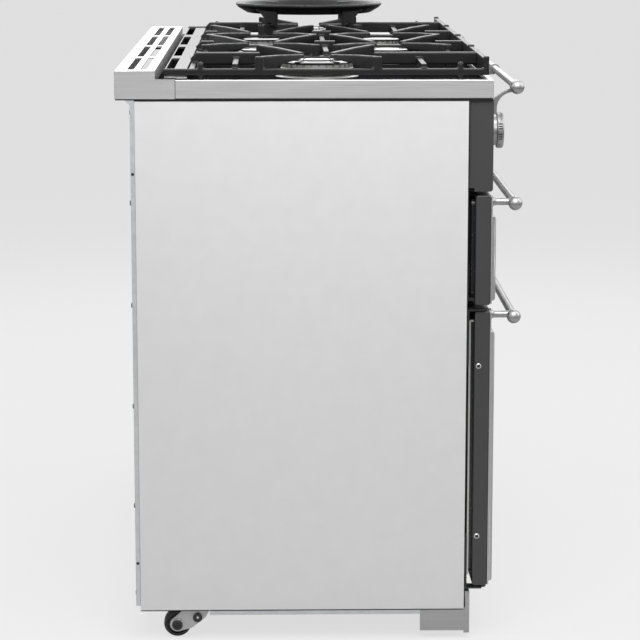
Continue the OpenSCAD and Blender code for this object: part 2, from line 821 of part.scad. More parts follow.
// Plinth: a front plate with a short return at each side
module plinth() {
    lift = 8;
    side_lift = 12;
    plate_t = 8;
    y0 = y_panel_front - plate_t - 1;
    z1 = base_h + 29;
    color("gainsboro") {
        difference() {
            block([-x_inner, x_inner], [y0, y_panel_front], [lift, z1]);
            block([-x_inner + sheet_t, x_inner - sheet_t], [y0 + sheet_t, y_panel_front + eps],
                  [lift - eps, z1 - sheet_t]);
        }
        both_sides()
            block([x_inner - sheet_t, x_inner], [y_panel_front - eps, y_panel_front + plinth_return],
                  [side_lift, base_h]);
    }
}

// Levelling feet: a stud with a wide pad
module front_feet() {
    pad = 8;
    stud_r = 6;
    nut_h = 7;
    color("darkgray") both_sides() {
        rod_z(foot_r, foot_x, foot_y, 0, pad);
        rod_z(stud_r, foot_x, foot_y, pad, base_h - pad);
        translate([foot_x, foot_y, base_h - 2 * nut_h]) cylinder(h = nut_h, r = 10, $fn = 6);
    }
}

// Wheel forks: two cheek plates with the axle bolt between them
boss_ahead = 33;
boss_rise = 11.9;
fork_gap = 1.2;

// One cheek: its top edge on the base, its nose round the stop boss, its end round the axle
module cheek_outline() {
    end_r = 12;
    top_rear = 11.9;
    top_front = 53.7;
    nose = 13.1;
    heel = [23.7, 6];
    belly = [4, 11.3];
    neck = [7, 9.7];
    translate([wheel_y, wheel_r]) circle(end_r);
    polygon([[wheel_y - top_rear, base_h], [wheel_y - top_front, base_h],
             [wheel_y - boss_ahead - nose, wheel_r + boss_rise],
             [wheel_y - heel[0], wheel_r - heel[1]], [wheel_y - belly[0], wheel_r - belly[1]],
             [wheel_y, wheel_r], [wheel_y + neck[0], wheel_r + neck[1]]]);
}

module wheel_brackets() {
    x0 = x_inner - wheel_in;
    inner = x0 - wheel_w - 2 * fork_gap - fork_t;
    bolt_r = axle_r + 3;
    boss_r = 7.5;
    sunk = 0.01;
    color("lightgray") both_sides() {
        for (x = [x0, inner])
            along_x(x, fork_t) cheek_outline();
        block([inner, x0 + fork_t], [wheel_y - 50, wheel_y - 40], [base_h - 3, base_h]);
        rod_x(axle_r, inner, x0 - inner + fork_t, wheel_y, wheel_r);
        rod_x(bolt_r, x0 + fork_t - sunk, 3, wheel_y, wheel_r);
        rod_x(boss_r, x0 + fork_t - sunk, 2, wheel_y - boss_ahead, wheel_r + boss_rise);
    }
}

module wheel() {
    x0 = x_inner - wheel_in - wheel_w - fork_gap;
    rim = 3;
    color("black") difference() {
        union() {
            rod_x(wheel_r, x0 + 2, wheel_w - 4, wheel_y, wheel_r);
            rod_x(wheel_r - rim, x0, wheel_w, wheel_y, wheel_r);
        }
        rod_x(axle_r + pin_gap, x0 - eps, wheel_w + 2 * eps, wheel_y, wheel_r);
    }
}

module wheel_right() wheel();
module wheel_left() mirror([1, 0, 0]) wheel();

// Gas manifold: a pipe behind the control panel with a valve for each gas knob, led to the rear inlet
module gas_manifold() {
    valve_w = 26;
    valve_h = 44;
    pipe_x0 = knob_x[0] - 30;
    color("goldenrod") {
        rod_x(manifold_r, pipe_x0, x_inlet - pipe_x0, y_manifold, z_manifold);
        translate([x_inlet, y_manifold, z_manifold]) sphere(manifold_r + 3);
        rod_y(manifold_r, x_inlet, y_manifold, y_panel_back + back_t - y_manifold, z_manifold);
        rod_y(inlet_r, x_inlet, y_panel_back + back_t, rear_overhang - back_t - 2, z_manifold);
        for (k = gas_knobs) difference() {
            union() {
                block([knob_x[k] - valve_w / 2, knob_x[k] + valve_w / 2],
                      [y_valve + 8, y_manifold], [z_knob - valve_h + 12, z_knob + 12]);
                rod_y(10, knob_x[k], y_valve, 10, z_knob);
            }
            rod_y(spindle_r + pin_gap, knob_x[k], y_valve - eps, 16 + eps, z_knob);
        }
    }
}

// Valve spindles: each turns in its valve and carries a gas knob
module spindle(i) {
    x = knob_x[gas_knobs[i]];
    color("silver") rod_y(spindle_r, x, y_valve - spindle_len, spindle_len + 14, z_knob);
}

module spindle_1() spindle(0);
module spindle_2() spindle(1);
module spindle_3() spindle(2);
module spindle_4() spindle(3);
module spindle_5() spindle(4);
module spindle_6() spindle(5);

// Knob: a turned disc on a narrower collar, with a raised pointer bar
module knob(i) {
    collar_r = knob_r * 0.84;
    collar = knob_len * 0.38;
    face = knob_len - 1.2;
    edge = 1.5;
    pointer = 4;
    gas = len(search(i, gas_knobs)) > 0;
    bore = knob_len - 4;
    color("silver") translate([knob_x[i], y_knob, z_knob]) rotate([90, 0, 0]) {
        difference() {
            rotate_extrude() polygon([[0, 0], [collar_r, 0], [collar_r, collar],
                                      [knob_r - edge, collar], [knob_r, collar + edge],
                                      [knob_r, face - edge], [knob_r - edge, face], [0, face]]);
            if (gas) translate([0, 0, -eps]) cylinder(h = bore + eps, r = spindle_r + pin_gap);
        }
        translate([-pointer / 2, 0, face - 1]) cube([pointer, knob_r - pointer, knob_len - face + 1]);
        if (!gas) translate([0, 0, -(y_valve - y_knob)]) cylinder(h = y_valve - y_knob + 1, r = spindle_r);
    }
}

module knob_1() knob(0);
module knob_2() knob(1);
module knob_3() knob(2);
module knob_4() knob(3);
module knob_5() knob(4);
module knob_6() knob(5);
module knob_7() knob(6);
module knob_8() knob(7);
module knob_9() knob(8);

// Burner bowl: a shallow dish that hangs in the deck's hole by its lip
module burner_bowl(at, r) {
    lip_t = 2;
    bead = 1;
    wall = 4;
    slant = 9;
    floor_t = 6;
    z0 = z_deck - bowl_depth;
    translate([at[0], at[1], 0]) rotate_extrude() polygon([
        [0, z0], [r - 2 * wall, z0], [r - gap, z0 + slant],
        [r - gap, z_deck], [r + bowl_lip, z_deck], [r + bowl_lip, z_deck + lip_t],
        [r + lip_t, z_deck + lip_t + bead], [r - wall, z_deck + bead],
        [r - 2 * wall - bead, z0 + slant - bead], [0, z0 + floor_t]]);
    translate([at[0], at[1], z0 + floor_t - bead])
        cylinder(h = crown_z - z0 - floor_t + bead, r = r * stem_share);
}

module burner_bowls() {
    color("silver") {
        for (b = large_at) burner_bowl(b, large_r);
        for (b = small_at) burner_bowl(b, small_r);
    }
}

// Flame crown: a ring with a radial gas port between each pair of teeth
module crown(at, r, ports, z, h) {
    port_w = 2.4;
    floor_t = 3;
    ring_t = 8;
    foot_in = 5;
    shoulder = 1;
    z_shoulder = h * 0.45;
    z_port = h * 0.6;
    translate([at[0], at[1], z]) difference() {
        union() {
            cylinder(h = z_shoulder, r1 = r - foot_in, r2 = r);
            translate([0, 0, z_shoulder]) cylinder(h = h - z_shoulder, r = r - shoulder);
        }
        translate([0, 0, floor_t]) cylinder(h = h, r = r - ring_t);
        for (i = [0:ports - 1]) rotate([0, 0, i * 360 / ports])
            translate([r - ring_t - eps, -port_w / 2, z_port]) cube([ring_t + 2 * eps, port_w, h]);
    }
}

module burner_crowns() {
    color("silver") {
        for (b = large_at) {
            crown(b, large_r, large_ports, crown_z, crown_h);
            crown(b, inner_r, 12, crown_z + inner_rise, crown_h);
        }
        for (b = small_at) crown(b, small_r, small_ports, crown_z, crown_h);
    }
}

// Half section of a cap, as a ring from r_in to r_out or as a slightly crowned disc
module cap_profile(r_in, r_out, h) {
    edge = 2;
    crowned = 0.6;
    polygon(r_in > 0
        ? [[r_in, 0], [r_out, 0], [r_out, h - edge], [r_out - 1.5 * edge, h],
           [r_in + edge, h], [r_in, h - edge]]
        : [[0, 0], [r_out, 0], [r_out, h - edge], [r_out - 1.5 * edge, h - crowned], [0, h]]);
}

module burner_caps() {
    color("black") {
        for (b = large_at) {
            translate([b[0], b[1], cap_z]) rotate_extrude()
                cap_profile(inner_r + 5, large_r - 1, cap_t);
            translate([b[0], b[1], cap_z + inner_rise]) rotate_extrude()
                cap_profile(0, inner_r + 1, cap_t);
        }
        for (b = small_at) translate([b[0], b[1], cap_z]) rotate_extrude()
            cap_profile(0, small_r + 1, cap_t);
    }
}

// Finger: a bar that slopes down from its root on the rail to its tip by the burner
module finger(root, tip) {
    run = norm(tip - root);
    top = z_finger;
    translate([root[0], root[1], 0]) rotate([0, 0, atan2(tip[1] - root[1], tip[0] - root[0])])
        rotate([90, 0, 0]) translate([0, 0, -bar_w / 2]) linear_extrude(bar_w)
            polygon([[-2, z_rail], [-2, top], [run * 0.4, top - 1], [run, top - 5], [run, top - 11],
                     [run * 0.5, top - 16], [14, z_rail]]);
}

// The four fingers round one burner, with their root blocks on the rails
module fingers(x, y) {
    block_w = 13;
    for (sx = [-1, 1], sy = [-1, 1]) {
        finger([x + sx * rail_x, y + sy * finger_root], [x + sx * finger_tip_x, y + sy * finger_tip_y]);
        translate([x + sx * rail_x - bar_w / 2, y + sy * finger_root - block_w / 2, z_rail])
            cube([bar_w, block_w, finger_h]);
    }
}

// A stretch of the spine, with an end that is chamfered or square
module spine(x, y0, y1, chamfer = 0) {
    z0 = z_rail + rail_h - 3.7;
    z1 = z_rail + spine_h;
    c = (z1 - z0) / 2 * chamfer;
    along_x(x - spine_w / 2, spine_w)
        polygon([[y0, z0], [y0, z1], [y1 - c, z1], [y1, z1 - c], [y1, z0 + c * 0.9], [y1 - c, z0]]);
}

// Two side rails on round posts, with a front bar and a rear bar between them. The rail on the
// cooker's outer side, if outer is -1 or 1, runs on to the back.
module grate_frame(x, outer = 0) {
    tick = 10;
    post_r = bar_w / 2 + 0.4;
    post_top = rail_h + 6;
    for (s = [-1, 1]) {
        y1 = s == outer ? y_grate_rear : plate_front - 3;
        block([x + s * rail_x - bar_w / 2, x + s * rail_x + bar_w / 2], [y_grate_front, y1],
              [z_rail, z_rail + rail_h]);
        translate([x + s * (grate_half - tick / 2) - tick / 2, y_grate_front, z_rail])
            cube([tick, bar_w, finger_h]);
        for (y = [y_small[0] + finger_root, y_small[1] - finger_root]) {
            rod_z(post_r, x + s * rail_x, y, z_deck, grate_foot_h + post_top);
            translate([x + s * rail_x, y, z_rail + post_top]) sphere(post_r);
        }
    }
    block([x - grate_half, x + grate_half], [y_grate_front, y_grate_front + bar_w],
          [z_rail, z_rail + spine_h]);
    block([x - rail_x, x + rail_x], [plate_front - 12, plate_front - 3], [z_rail, z_rail + rail_h]);
}

module cross_bar(x, y) {
    top = 18;
    block([x - rail_x, x + rail_x], [y - bar_w / 2, y + bar_w / 2], [z_rail + 3, z_rail + top]);
}

// Grate for one large burner in the middle of its section
module one_burner_grate(x, outer) {
    clear = 93;
    color("black") {
        grate_frame(x, outer);
        spine(x, y_large + clear, plate_front - 1, 1);
        spine(x, y_grate_front + 4, y_large - clear);
        cross_bar(x, y_large + clear + 38);
        cross_bar(x, y_large - clear - 73);
        fingers(x, y_large);
    }
}

// Grate for a rear and a front burner
module two_burner_grate(x) {
    clear = 82;
    mid = (y_small[0] + y_small[1]) / 2;
    color("black") {
        grate_frame(x);
        spine(x, y_small[0] + clear, plate_front - 1, 1);
        spine(x, mid - 18, mid + 18);
        spine(x, y_grate_front + 4, y_small[1] - clear);
        cross_bar(x, mid);
        for (y = y_small) fingers(x, y);
    }
}

module grate_1() one_burner_grate(section_x[0], -1);
module grate_2() two_burner_grate(section_x[1]);
module grate_3() two_burner_grate(section_x[2]);
module grate_4() one_burner_grate(section_x[3], 1);

// Wok ring: a dished ring on four legs, each notched over a finger at the same radius
wok_leg_in = 12;
finger_run = [rail_x - finger_tip_x, finger_root - finger_tip_y];
finger_tip = [finger_tip_x, finger_tip_y];
wok_leg_r = wok_r - wok_leg_in;
leg_a = finger_run * finger_run;
leg_b = finger_run * finger_tip;
leg_c = finger_tip * finger_tip - wok_leg_r * wok_leg_r;
wok_leg = finger_tip + finger_run * (sqrt(leg_b * leg_b - leg_a * leg_c) - leg_b) / leg_a;

module wok_ring() {
    z_rim = z_finger + wok_rise;
    z_low = z_rim - wok_skirt;
    dish = 22;
    lip = 5;
    leg_w = 27;
    leg_depth = 9;
    notch_gap = 1;
    turn = atan2(finger_run[1], finger_run[0]);
    color("black") translate([section_x[3], y_large, 0]) {
        rotate_extrude() polygon([
            [wok_r - dish - wok_t, z_low], [wok_r - dish, z_low], [wok_r - lip, z_rim - 2 * lip],
            [wok_r, z_rim - lip], [wok_r, z_rim - lip / 2], [wok_r - lip / 2, z_rim],
            [wok_r - 2 * lip, z_rim - lip / 2]]);
        for (sx = [-1, 1], sy = [-1, 1]) intersection() {
            translate([sx * wok_leg[0], sy * wok_leg[1], 0]) rotate([0, 0, sx * sy * turn])
                difference() {
                    translate([-wok_t / 2, -leg_w / 2, z_finger - leg_depth])
                        cube([wok_t, leg_w, wok_rise - lip + leg_depth]);
                    translate([-wok_t, -bar_w / 2 - notch_gap, z_finger - leg_depth - eps])
                        cube([2 * wok_t, bar_w + 2 * notch_gap, leg_depth + eps - gap]);
                }
            cylinder(h = 2 * z_rim, r = wok_r - lip);
        }
    }
}

side_panel_left();
side_panel_right();
back_panel();
base_frame();
front_frame();
hob_deck();
hob_surround();
rear_vent_trim();
control_panel();
control_panel_ends();
hand_rail();
rail_brackets();
grill_liner();
left_oven_liner();
right_oven_liner();
oven_seals();
oven_racks();
heating_elements();
door_hinges();
plinth();
front_feet();
wheel_brackets();
gas_manifold();
burner_bowls();
burner_crowns();
burner_caps();
wheel_left();
wheel_right();
grate_1();
grate_2();
grate_3();
grate_4();
wok_ring();
spindle_1();
spindle_2();
spindle_3();
spindle_4();
spindle_5();
spindle_6();
knob_1();
knob_2();
knob_3();
knob_4();
knob_5();
knob_6();
knob_7();
knob_8();
knob_9();
grill_door_frame();
grill_door_skin();
grill_door_liner();
grill_door_handle();
left_door_frame();
left_door_skin();
left_door_liner();
left_door_handle();
right_door_frame();
right_door_skin();
right_door_liner();
right_door_handle();
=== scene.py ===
import math

import bmesh
import bpy
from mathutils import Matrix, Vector


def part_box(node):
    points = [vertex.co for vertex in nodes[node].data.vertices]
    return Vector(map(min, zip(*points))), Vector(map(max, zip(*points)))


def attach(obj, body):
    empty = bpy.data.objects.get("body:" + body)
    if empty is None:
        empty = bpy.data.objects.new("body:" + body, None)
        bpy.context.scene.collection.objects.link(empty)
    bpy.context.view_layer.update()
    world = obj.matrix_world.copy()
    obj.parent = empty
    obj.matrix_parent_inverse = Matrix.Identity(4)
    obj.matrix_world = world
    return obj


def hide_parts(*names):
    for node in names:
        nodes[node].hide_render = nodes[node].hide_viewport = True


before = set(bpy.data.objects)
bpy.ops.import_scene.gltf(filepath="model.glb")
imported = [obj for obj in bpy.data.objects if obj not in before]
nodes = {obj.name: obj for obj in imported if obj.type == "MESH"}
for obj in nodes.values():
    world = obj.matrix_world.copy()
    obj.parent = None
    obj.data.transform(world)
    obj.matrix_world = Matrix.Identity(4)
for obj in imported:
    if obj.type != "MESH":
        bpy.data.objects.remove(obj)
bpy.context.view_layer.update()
bpy.ops.object.select_all(action="DESELECT")
MM = 0.001

# Camera
# A long lens stands well to the cooker's left, a little above the hob, and
# looks slightly down at the middle of the side panel. The front faces right.
CAMERA_AWAY = 3792 * MM
CAMERA_BEHIND = 75 * MM
CAMERA_HEIGHT = 1203 * MM
AIM_HEIGHT = 526 * MM
panel_low, panel_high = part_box("side_panel_left")
camera_place = Vector((panel_low.x - CAMERA_AWAY, CAMERA_BEHIND, CAMERA_HEIGHT))
camera_aim = Vector((panel_low.x, 0, AIM_HEIGHT))
camera_data = bpy.data.cameras.new("photo_camera")
camera_data.sensor_width = 36
camera_data.lens = 136.5
camera_data.clip_end = 100
camera = bpy.data.objects.new("photo_camera", camera_data)
camera.location = camera_place
camera.rotation_mode = "QUATERNION"
camera.rotation_quaternion = (camera_aim - camera_place).to_track_quat("-Z", "Y")
bpy.context.scene.collection.objects.link(camera)
bpy.context.scene.camera = camera

# Studio
# A pale matt floor runs off under a pale surround. Wide soft boxes stand high on
# every side, and the one on the camera's side lights the panel from above.
bpy.context.scene.view_settings.view_transform = "Standard"
FLOOR_SIZE = 120
FLOOR_COLOUR = (0.60, 0.60, 0.60, 1)
FLOOR_SEEN = (0.92, 0.92, 0.92, 1)
FLOOR_LIFT = 0.75
SURROUND = (0.80, 0.80, 0.80, 1)
AMBIENT = 0.25
bpy.ops.mesh.primitive_plane_add(size=FLOOR_SIZE)
floor = bpy.context.object
floor.name = "studio_floor"
floor_finish = bpy.data.materials.new("floor_finish")
floor_finish.use_nodes = True
tree = floor_finish.node_tree
floor_shader = tree.nodes["Principled BSDF"]
floor_shader.inputs["Base Color"].default_value = FLOOR_COLOUR
floor_shader.inputs["Roughness"].default_value = 0.9
path = tree.nodes.new("ShaderNodeLightPath")
glow = tree.nodes.new("ShaderNodeEmission")
glow.inputs["Color"].default_value = FLOOR_SEEN
share = tree.nodes.new("ShaderNodeMath")
share.operation = "MULTIPLY"
share.inputs[1].default_value = FLOOR_LIFT
blend = tree.nodes.new("ShaderNodeMixShader")
tree.links.new(path.outputs["Is Camera Ray"], share.inputs[0])
tree.links.new(share.outputs["Value"], blend.inputs["Fac"])
tree.links.new(floor_shader.outputs["BSDF"], blend.inputs[1])
tree.links.new(glow.outputs["Emission"], blend.inputs[2])
tree.links.new(blend.outputs["Shader"], tree.nodes["Material Output"].inputs["Surface"])
floor.data.materials.append(floor_finish)

world = bpy.data.worlds.new("studio")
bpy.context.scene.world = world
world.use_nodes = True
tree = world.node_tree
tree.nodes.clear()
path = tree.nodes.new("ShaderNodeLightPath")
seen = tree.nodes.new("ShaderNodeMath")
seen.operation = "MAXIMUM"
mirrored = tree.nodes.new("ShaderNodeMath")
mirrored.operation = "MAXIMUM"
soft = tree.nodes.new("ShaderNodeBackground")
soft.inputs["Color"].default_value = (1, 1, 1, 1)
soft.inputs["Strength"].default_value = AMBIENT
pale = tree.nodes.new("ShaderNodeBackground")
pale.inputs["Color"].default_value = SURROUND
blend = tree.nodes.new("ShaderNodeMixShader")
sky = tree.nodes.new("ShaderNodeOutputWorld")
tree.links.new(path.outputs["Is Camera Ray"], seen.inputs[0])
tree.links.new(path.outputs["Is Glossy Ray"], seen.inputs[1])
tree.links.new(seen.outputs["Value"], mirrored.inputs[0])
tree.links.new(path.outputs["Is Transmission Ray"], mirrored.inputs[1])
tree.links.new(mirrored.outputs["Value"], blend.inputs["Fac"])
tree.links.new(soft.outputs["Background"], blend.inputs[1])
tree.links.new(pale.outputs["Background"], blend.inputs[2])
tree.links.new(blend.outputs["Shader"], sky.inputs["Surface"])

LAMP_AIM = Vector((0, 0, 500 * MM))
# Place, width in metres and power in watts of each box
SOFT_BOXES = {
    "left_box": ((-1.5, -0.1, 2.1), 1.8, 38),
    "front_box": ((0.0, -2.8, 2.4), 2.8, 46),
    "right_box": ((2.4, 0.0, 2.4), 2.6, 38),
    "back_box": ((0.0, 2.8, 2.4), 2.8, 40),
    "top_box": ((0.4, 0.0, 3.4), 3.0, 8),
}
for name, (place, size, power) in SOFT_BOXES.items():
    lamp = bpy.data.lights.new(name, "AREA")
    lamp.size = size
    lamp.energy = power
    holder = bpy.data.objects.new(name, lamp)
    holder.location = place
    holder.rotation_mode = "QUATERNION"
    holder.rotation_quaternion = (LAMP_AIM - Vector(place)).to_track_quat("-Z", "Y")
    holder.visible_camera = False
    bpy.context.scene.collection.objects.link(holder)


# Base tray and wheel forks
# Folded zinc-coated sheet with a faint cloudy spangle. The tray closes the body
# from below, and the forks hang under its rear corners.
def vary(made, pattern, colour, spread, roughness, swing, relief, depth):
    """Lets a pattern tint a finish, change its gloss and lift its surface."""
    tree = made.node_tree
    shader = tree.nodes["Principled BSDF"]
    tint = tree.nodes.new("ShaderNodeValToRGB")
    for stop, place, change in zip(tint.color_ramp.elements, (0.3, 0.7), (-spread, spread)):
        stop.position = place
        stop.color = (*[c * (1 + change) for c in colour], 1)
    gloss = tree.nodes.new("ShaderNodeMapRange")
    gloss.inputs["To Min"].default_value = roughness * (1 - swing)
    gloss.inputs["To Max"].default_value = roughness * (1 + swing)
    lift = tree.nodes.new("ShaderNodeBump")
    lift.inputs["Strength"].default_value = relief
    lift.inputs["Distance"].default_value = depth
    tree.links.new(pattern, tint.inputs["Fac"])
    tree.links.new(pattern, gloss.inputs["Value"])
    tree.links.new(pattern, lift.inputs["Height"])
    tree.links.new(tint.outputs["Color"], shader.inputs["Base Color"])
    tree.links.new(gloss.outputs["Result"], shader.inputs["Roughness"])
    tree.links.new(lift.outputs["Normal"], shader.inputs["Normal"])


def cloudy_finish(name, colour, metallic, roughness, grain, spread=0.06, relief=0.02, specular=0.5, coat=0):
    """Finish whose colour, gloss and surface vary by a noise of the given grain, in metres."""
    made = bpy.data.materials.new(name)
    made.use_nodes = True
    tree = made.node_tree
    shader = tree.nodes["Principled BSDF"]
    shader.inputs["Metallic"].default_value = metallic
    shader.inputs["Specular IOR Level"].default_value = specular
    shader.inputs["Coat Weight"].default_value = coat
    place = tree.nodes.new("ShaderNodeTexCoord")
    noise = tree.nodes.new("ShaderNodeTexNoise")
    noise.inputs["Scale"].default_value = 1 / grain
    noise.inputs["Detail"].default_value = 6
    tree.links.new(place.outputs["Object"], noise.inputs["Vector"])
    vary(made, noise.outputs["Fac"], colour, spread, roughness, 0.15, relief, grain)
    return made


def take(*pieces):
    """Selects these pieces alone, with the first one active."""
    bpy.ops.object.select_all(action="DESELECT")
    for piece in pieces:
        piece.select_set(True)
    bpy.context.view_layer.objects.active = pieces[0]


def merged_copy(node):
    """Copy of a CAD node with its triangles joined up, in edit mode."""
    piece = nodes[node].copy()
    piece.data = nodes[node].data.copy()
    piece.name = node + "_made"
    bpy.context.scene.collection.objects.link(piece)
    take(piece)
    bpy.ops.object.mode_set(mode="EDIT")
    bpy.ops.mesh.select_all(action="SELECT")
    bpy.ops.mesh.remove_doubles(threshold=0.01 * MM)
    return piece


SHARP = math.radians(32)
SHADED_ROUND = math.radians(35)


def softened(node, width, segments=2, shortest=40 * MM):
    """Copy of a CAD node whose long sharp edges are broken by a small radius."""
    piece = merged_copy(node)
    bpy.ops.mesh.dissolve_limited(angle_limit=math.radians(2))
    mesh = bmesh.from_edit_mesh(piece.data)
    weight = mesh.edges.layers.float.new("bevel_weight_edge")
    sharp = {edge for edge in mesh.edges if edge.calc_face_angle(0) > SHARP}
    waiting = set(sharp)
    while waiting:
        run = [waiting.pop()]
        for edge in run:
            for corner in edge.verts:
                near = [other for other in corner.link_edges if other in sharp]
                if len(near) == 2:
                    run += waiting.intersection(near)
                    waiting.difference_update(near)
        if sum(edge.calc_length() for edge in run) > shortest:
            for edge in run:
                edge[weight] = 1
    bmesh.update_edit_mesh(piece.data)
    bpy.ops.object.mode_set(mode="OBJECT")
    round_edges(piece, width, segments, "WEIGHT")
    return piece


def round_edges(piece, width, segments=2, chosen="ANGLE"):
    """Rounds the sharp or the marked edges of a piece and keeps its flat faces flat."""
    take(piece)
    bevel = piece.modifiers.new("rounding", "BEVEL")
    bevel.width = width
    bevel.segments = segments
    bevel.limit_method = chosen
    bevel.angle_limit = SHARP
    bevel.use_clamp_overlap = False
    bevel.face_strength_mode = "FSTR_ALL"
    bpy.ops.object.modifier_apply(modifier=bevel.name)
    bpy.ops.object.shade_smooth_by_angle(angle=SHADED_ROUND)
    flats = piece.modifiers.new("flats", "WEIGHTED_NORMAL")
    flats.keep_sharp = True
    flats.use_face_influence = True
    bpy.ops.object.modifier_apply(modifier=flats.name)


def fit(piece, finish, slot, body, *replaced):
    """Gives a piece its finish, the body that it rides on and the CAD nodes it stands for. The slot is not
    used.
    """
    piece.data.materials.clear()
    piece.data.materials.append(finish)
    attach(piece, body)
    if replaced:
        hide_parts(*replaced)


zinc = cloudy_finish("zinc", (0.60, 0.61, 0.62), 0.55, 0.42, 12 * MM)
fork_steel = cloudy_finish("fork_steel", (0.50, 0.50, 0.50), 0.5, 0.4, 4 * MM, spread=0.05)
fit(softened("base_frame", 0.5 * MM), zinc, "galvanised", "cooker_body", "base_frame")
fit(softened("wheel_brackets", 0.5 * MM), fork_steel, "galvanised", "cooker_body", "wheel_brackets")


# Wheels
# Two moulded black nylon wheels with a rounded tread and a dished hub, each
# turning on the bolt between its fork's cheeks.
def stand(piece, centre, axis):
    """Turns a piece's height along an axis, moves it to a centre point and applies both."""
    piece.rotation_mode = "QUATERNION"
    piece.rotation_quaternion = Vector((0, 0, 1)).rotation_difference(Vector(axis))
    piece.location = centre
    bpy.ops.object.transform_apply(location=True, rotation=True, scale=True)


def turned(name, outline, centre, axis, steps=48):
    """Spins an outline of (radius, height) points round an axis from a centre point."""
    bpy.ops.object.select_all(action="DESELECT")
    bpy.ops.mesh.primitive_plane_add(size=MM)
    piece = bpy.context.object
    piece.name = name
    bpy.ops.object.mode_set(mode="EDIT")
    bpy.ops.mesh.select_mode(type="VERT")
    bpy.ops.mesh.select_all(action="SELECT")
    bpy.ops.mesh.merge(type="CENTER")
    bpy.ops.transform.translate(value=(outline[0][0], 0, outline[0][1]))
    for (r0, h0), (r1, h1) in zip(outline, outline[1:]):
        bpy.ops.mesh.extrude_vertices_move(TRANSFORM_OT_translate={"value": (r1 - r0, 0, h1 - h0)})
    bpy.ops.mesh.select_all(action="SELECT")
    bpy.ops.mesh.spin(steps=steps, angle=2 * math.pi, center=(0, 0, 0), axis=(0, 0, 1))
    bpy.ops.mesh.select_all(action="SELECT")
    bpy.ops.mesh.remove_doubles(threshold=0.001 * MM)
    bpy.ops.mesh.normals_make_consistent(inside=False)
    bpy.ops.object.mode_set(mode="OBJECT")
    stand(piece, centre, axis)
    bpy.ops.object.shade_smooth_by_angle(angle=SHADED_ROUND)
    return piece


nylon = cloudy_finish("nylon", (0.022, 0.022, 0.023), 0, 0.5, 0.8 * MM, spread=0.15, relief=0.1)
HUB_BORE = 5.1 * MM
DISH = 4 * MM
for side in ("left", "right"):
    low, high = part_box("wheel_" + side)
    tread = (high.z - low.z) / 2
    half = (high.x - low.x) / 2
    outer_half = [(HUB_BORE, half - 1 * MM), (tread * 0.40, half - 0.4 * MM),
                  (tread * 0.44, half - DISH), (tread * 0.72, half - DISH), (tread * 0.77, half),
                  (tread - 2.4 * MM, half), (tread - 0.8 * MM, half - 1.2 * MM), (tread, half - 3 * MM)]
    outline = outer_half + [(r, -h) for r, h in reversed(outer_half)] + outer_half[:1]
    wheel = turned("wheel_%s_made" % side, outline, (low + high) / 2, (1, 0, 0))
    fit(wheel, nylon, "wheel_rubber", "wheel_" + side, "wheel_" + side)

# Levelling feet
# Turned steel pads on threaded studs, with a hexagon nut locked under the tray.
# They carry the front of the cooker, behind the plinth.
PAD_R = 18 * MM
PAD_H = 8 * MM
STUD_R = 6 * MM
THREAD_DEPTH = 0.6 * MM
THREAD_PITCH = 1.75 * MM
THREAD_LOW = 11 * MM
NUT_R = 10 * MM
NUT_H = 7 * MM


def joined(name, pieces):
    """Joins pieces into one and names it."""
    take(*pieces)
    bpy.ops.object.join()
    pieces[0].name = name
    return pieces[0]


plain_steel = cloudy_finish("plain_steel", (0.62, 0.62, 0.61), 0.85, 0.32, 2 * MM, spread=0.05)
low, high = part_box("front_feet")
foot_parts = []
for side in (-1, 1):
    centre = Vector((side * (high.x - PAD_R), (low.y + high.y) / 2, 0))
    outline = [(0, 0), (PAD_R - 1.5 * MM, 0), (PAD_R, 1.5 * MM), (PAD_R, PAD_H - 2 * MM),
               (PAD_R - 2 * MM, PAD_H), (STUD_R + 3 * MM, PAD_H + 0.8 * MM), (STUD_R, PAD_H + 2 * MM)]
    turns = int((high.z - THREAD_LOW - 1 * MM) / THREAD_PITCH)
    for i in range(turns):
        z = THREAD_LOW + i * THREAD_PITCH
        outline += [(STUD_R, z), (STUD_R - THREAD_DEPTH, z + THREAD_PITCH / 2)]
    outline += [(STUD_R, high.z), (0, high.z)]
    foot_parts.append(turned("foot", outline, centre, (0, 0, 1), steps=32))
    bpy.ops.object.select_all(action="DESELECT")
    bpy.ops.mesh.primitive_cylinder_add(vertices=6, radius=NUT_R, depth=NUT_H,
                                        location=centre + Vector((0, 0, high.z - 1.5 * NUT_H)))
    nut = bpy.context.object
    bpy.ops.object.transform_apply(location=True, rotation=True, scale=True)
    round_edges(nut, 0.6 * MM)
    foot_parts.append(nut)
fit(joined("front_feet_made", foot_parts), plain_steel, "hinge_steel", "cooker_body", "front_feet")


# Side panels
# Pale lacquered sheet, folded back along all four edges. Each is drawn from a
# block whose inner face is inset and pushed in to leave the sheet and its folds.
def add_block(name, low, high):
    """Adds a block between two corners."""
    bpy.ops.object.select_all(action="DESELECT")
    bpy.ops.mesh.primitive_cube_add(size=1, location=(Vector(low) + Vector(high)) / 2)
    piece = bpy.context.object
    piece.name = name
    piece.scale = Vector(high) - Vector(low)
    bpy.ops.object.transform_apply(location=True, rotation=True, scale=True)
    return piece


def pick_faces(piece, wanted):
    """Selects the faces that pass a test, with the piece in edit mode."""
    bpy.ops.mesh.select_mode(type="FACE")
    bpy.ops.mesh.select_all(action="DESELECT")
    mesh = bmesh.from_edit_mesh(piece.data)
    for face in mesh.faces:
        face.select_set(wanted(face))
    bmesh.update_edit_mesh(piece.data)


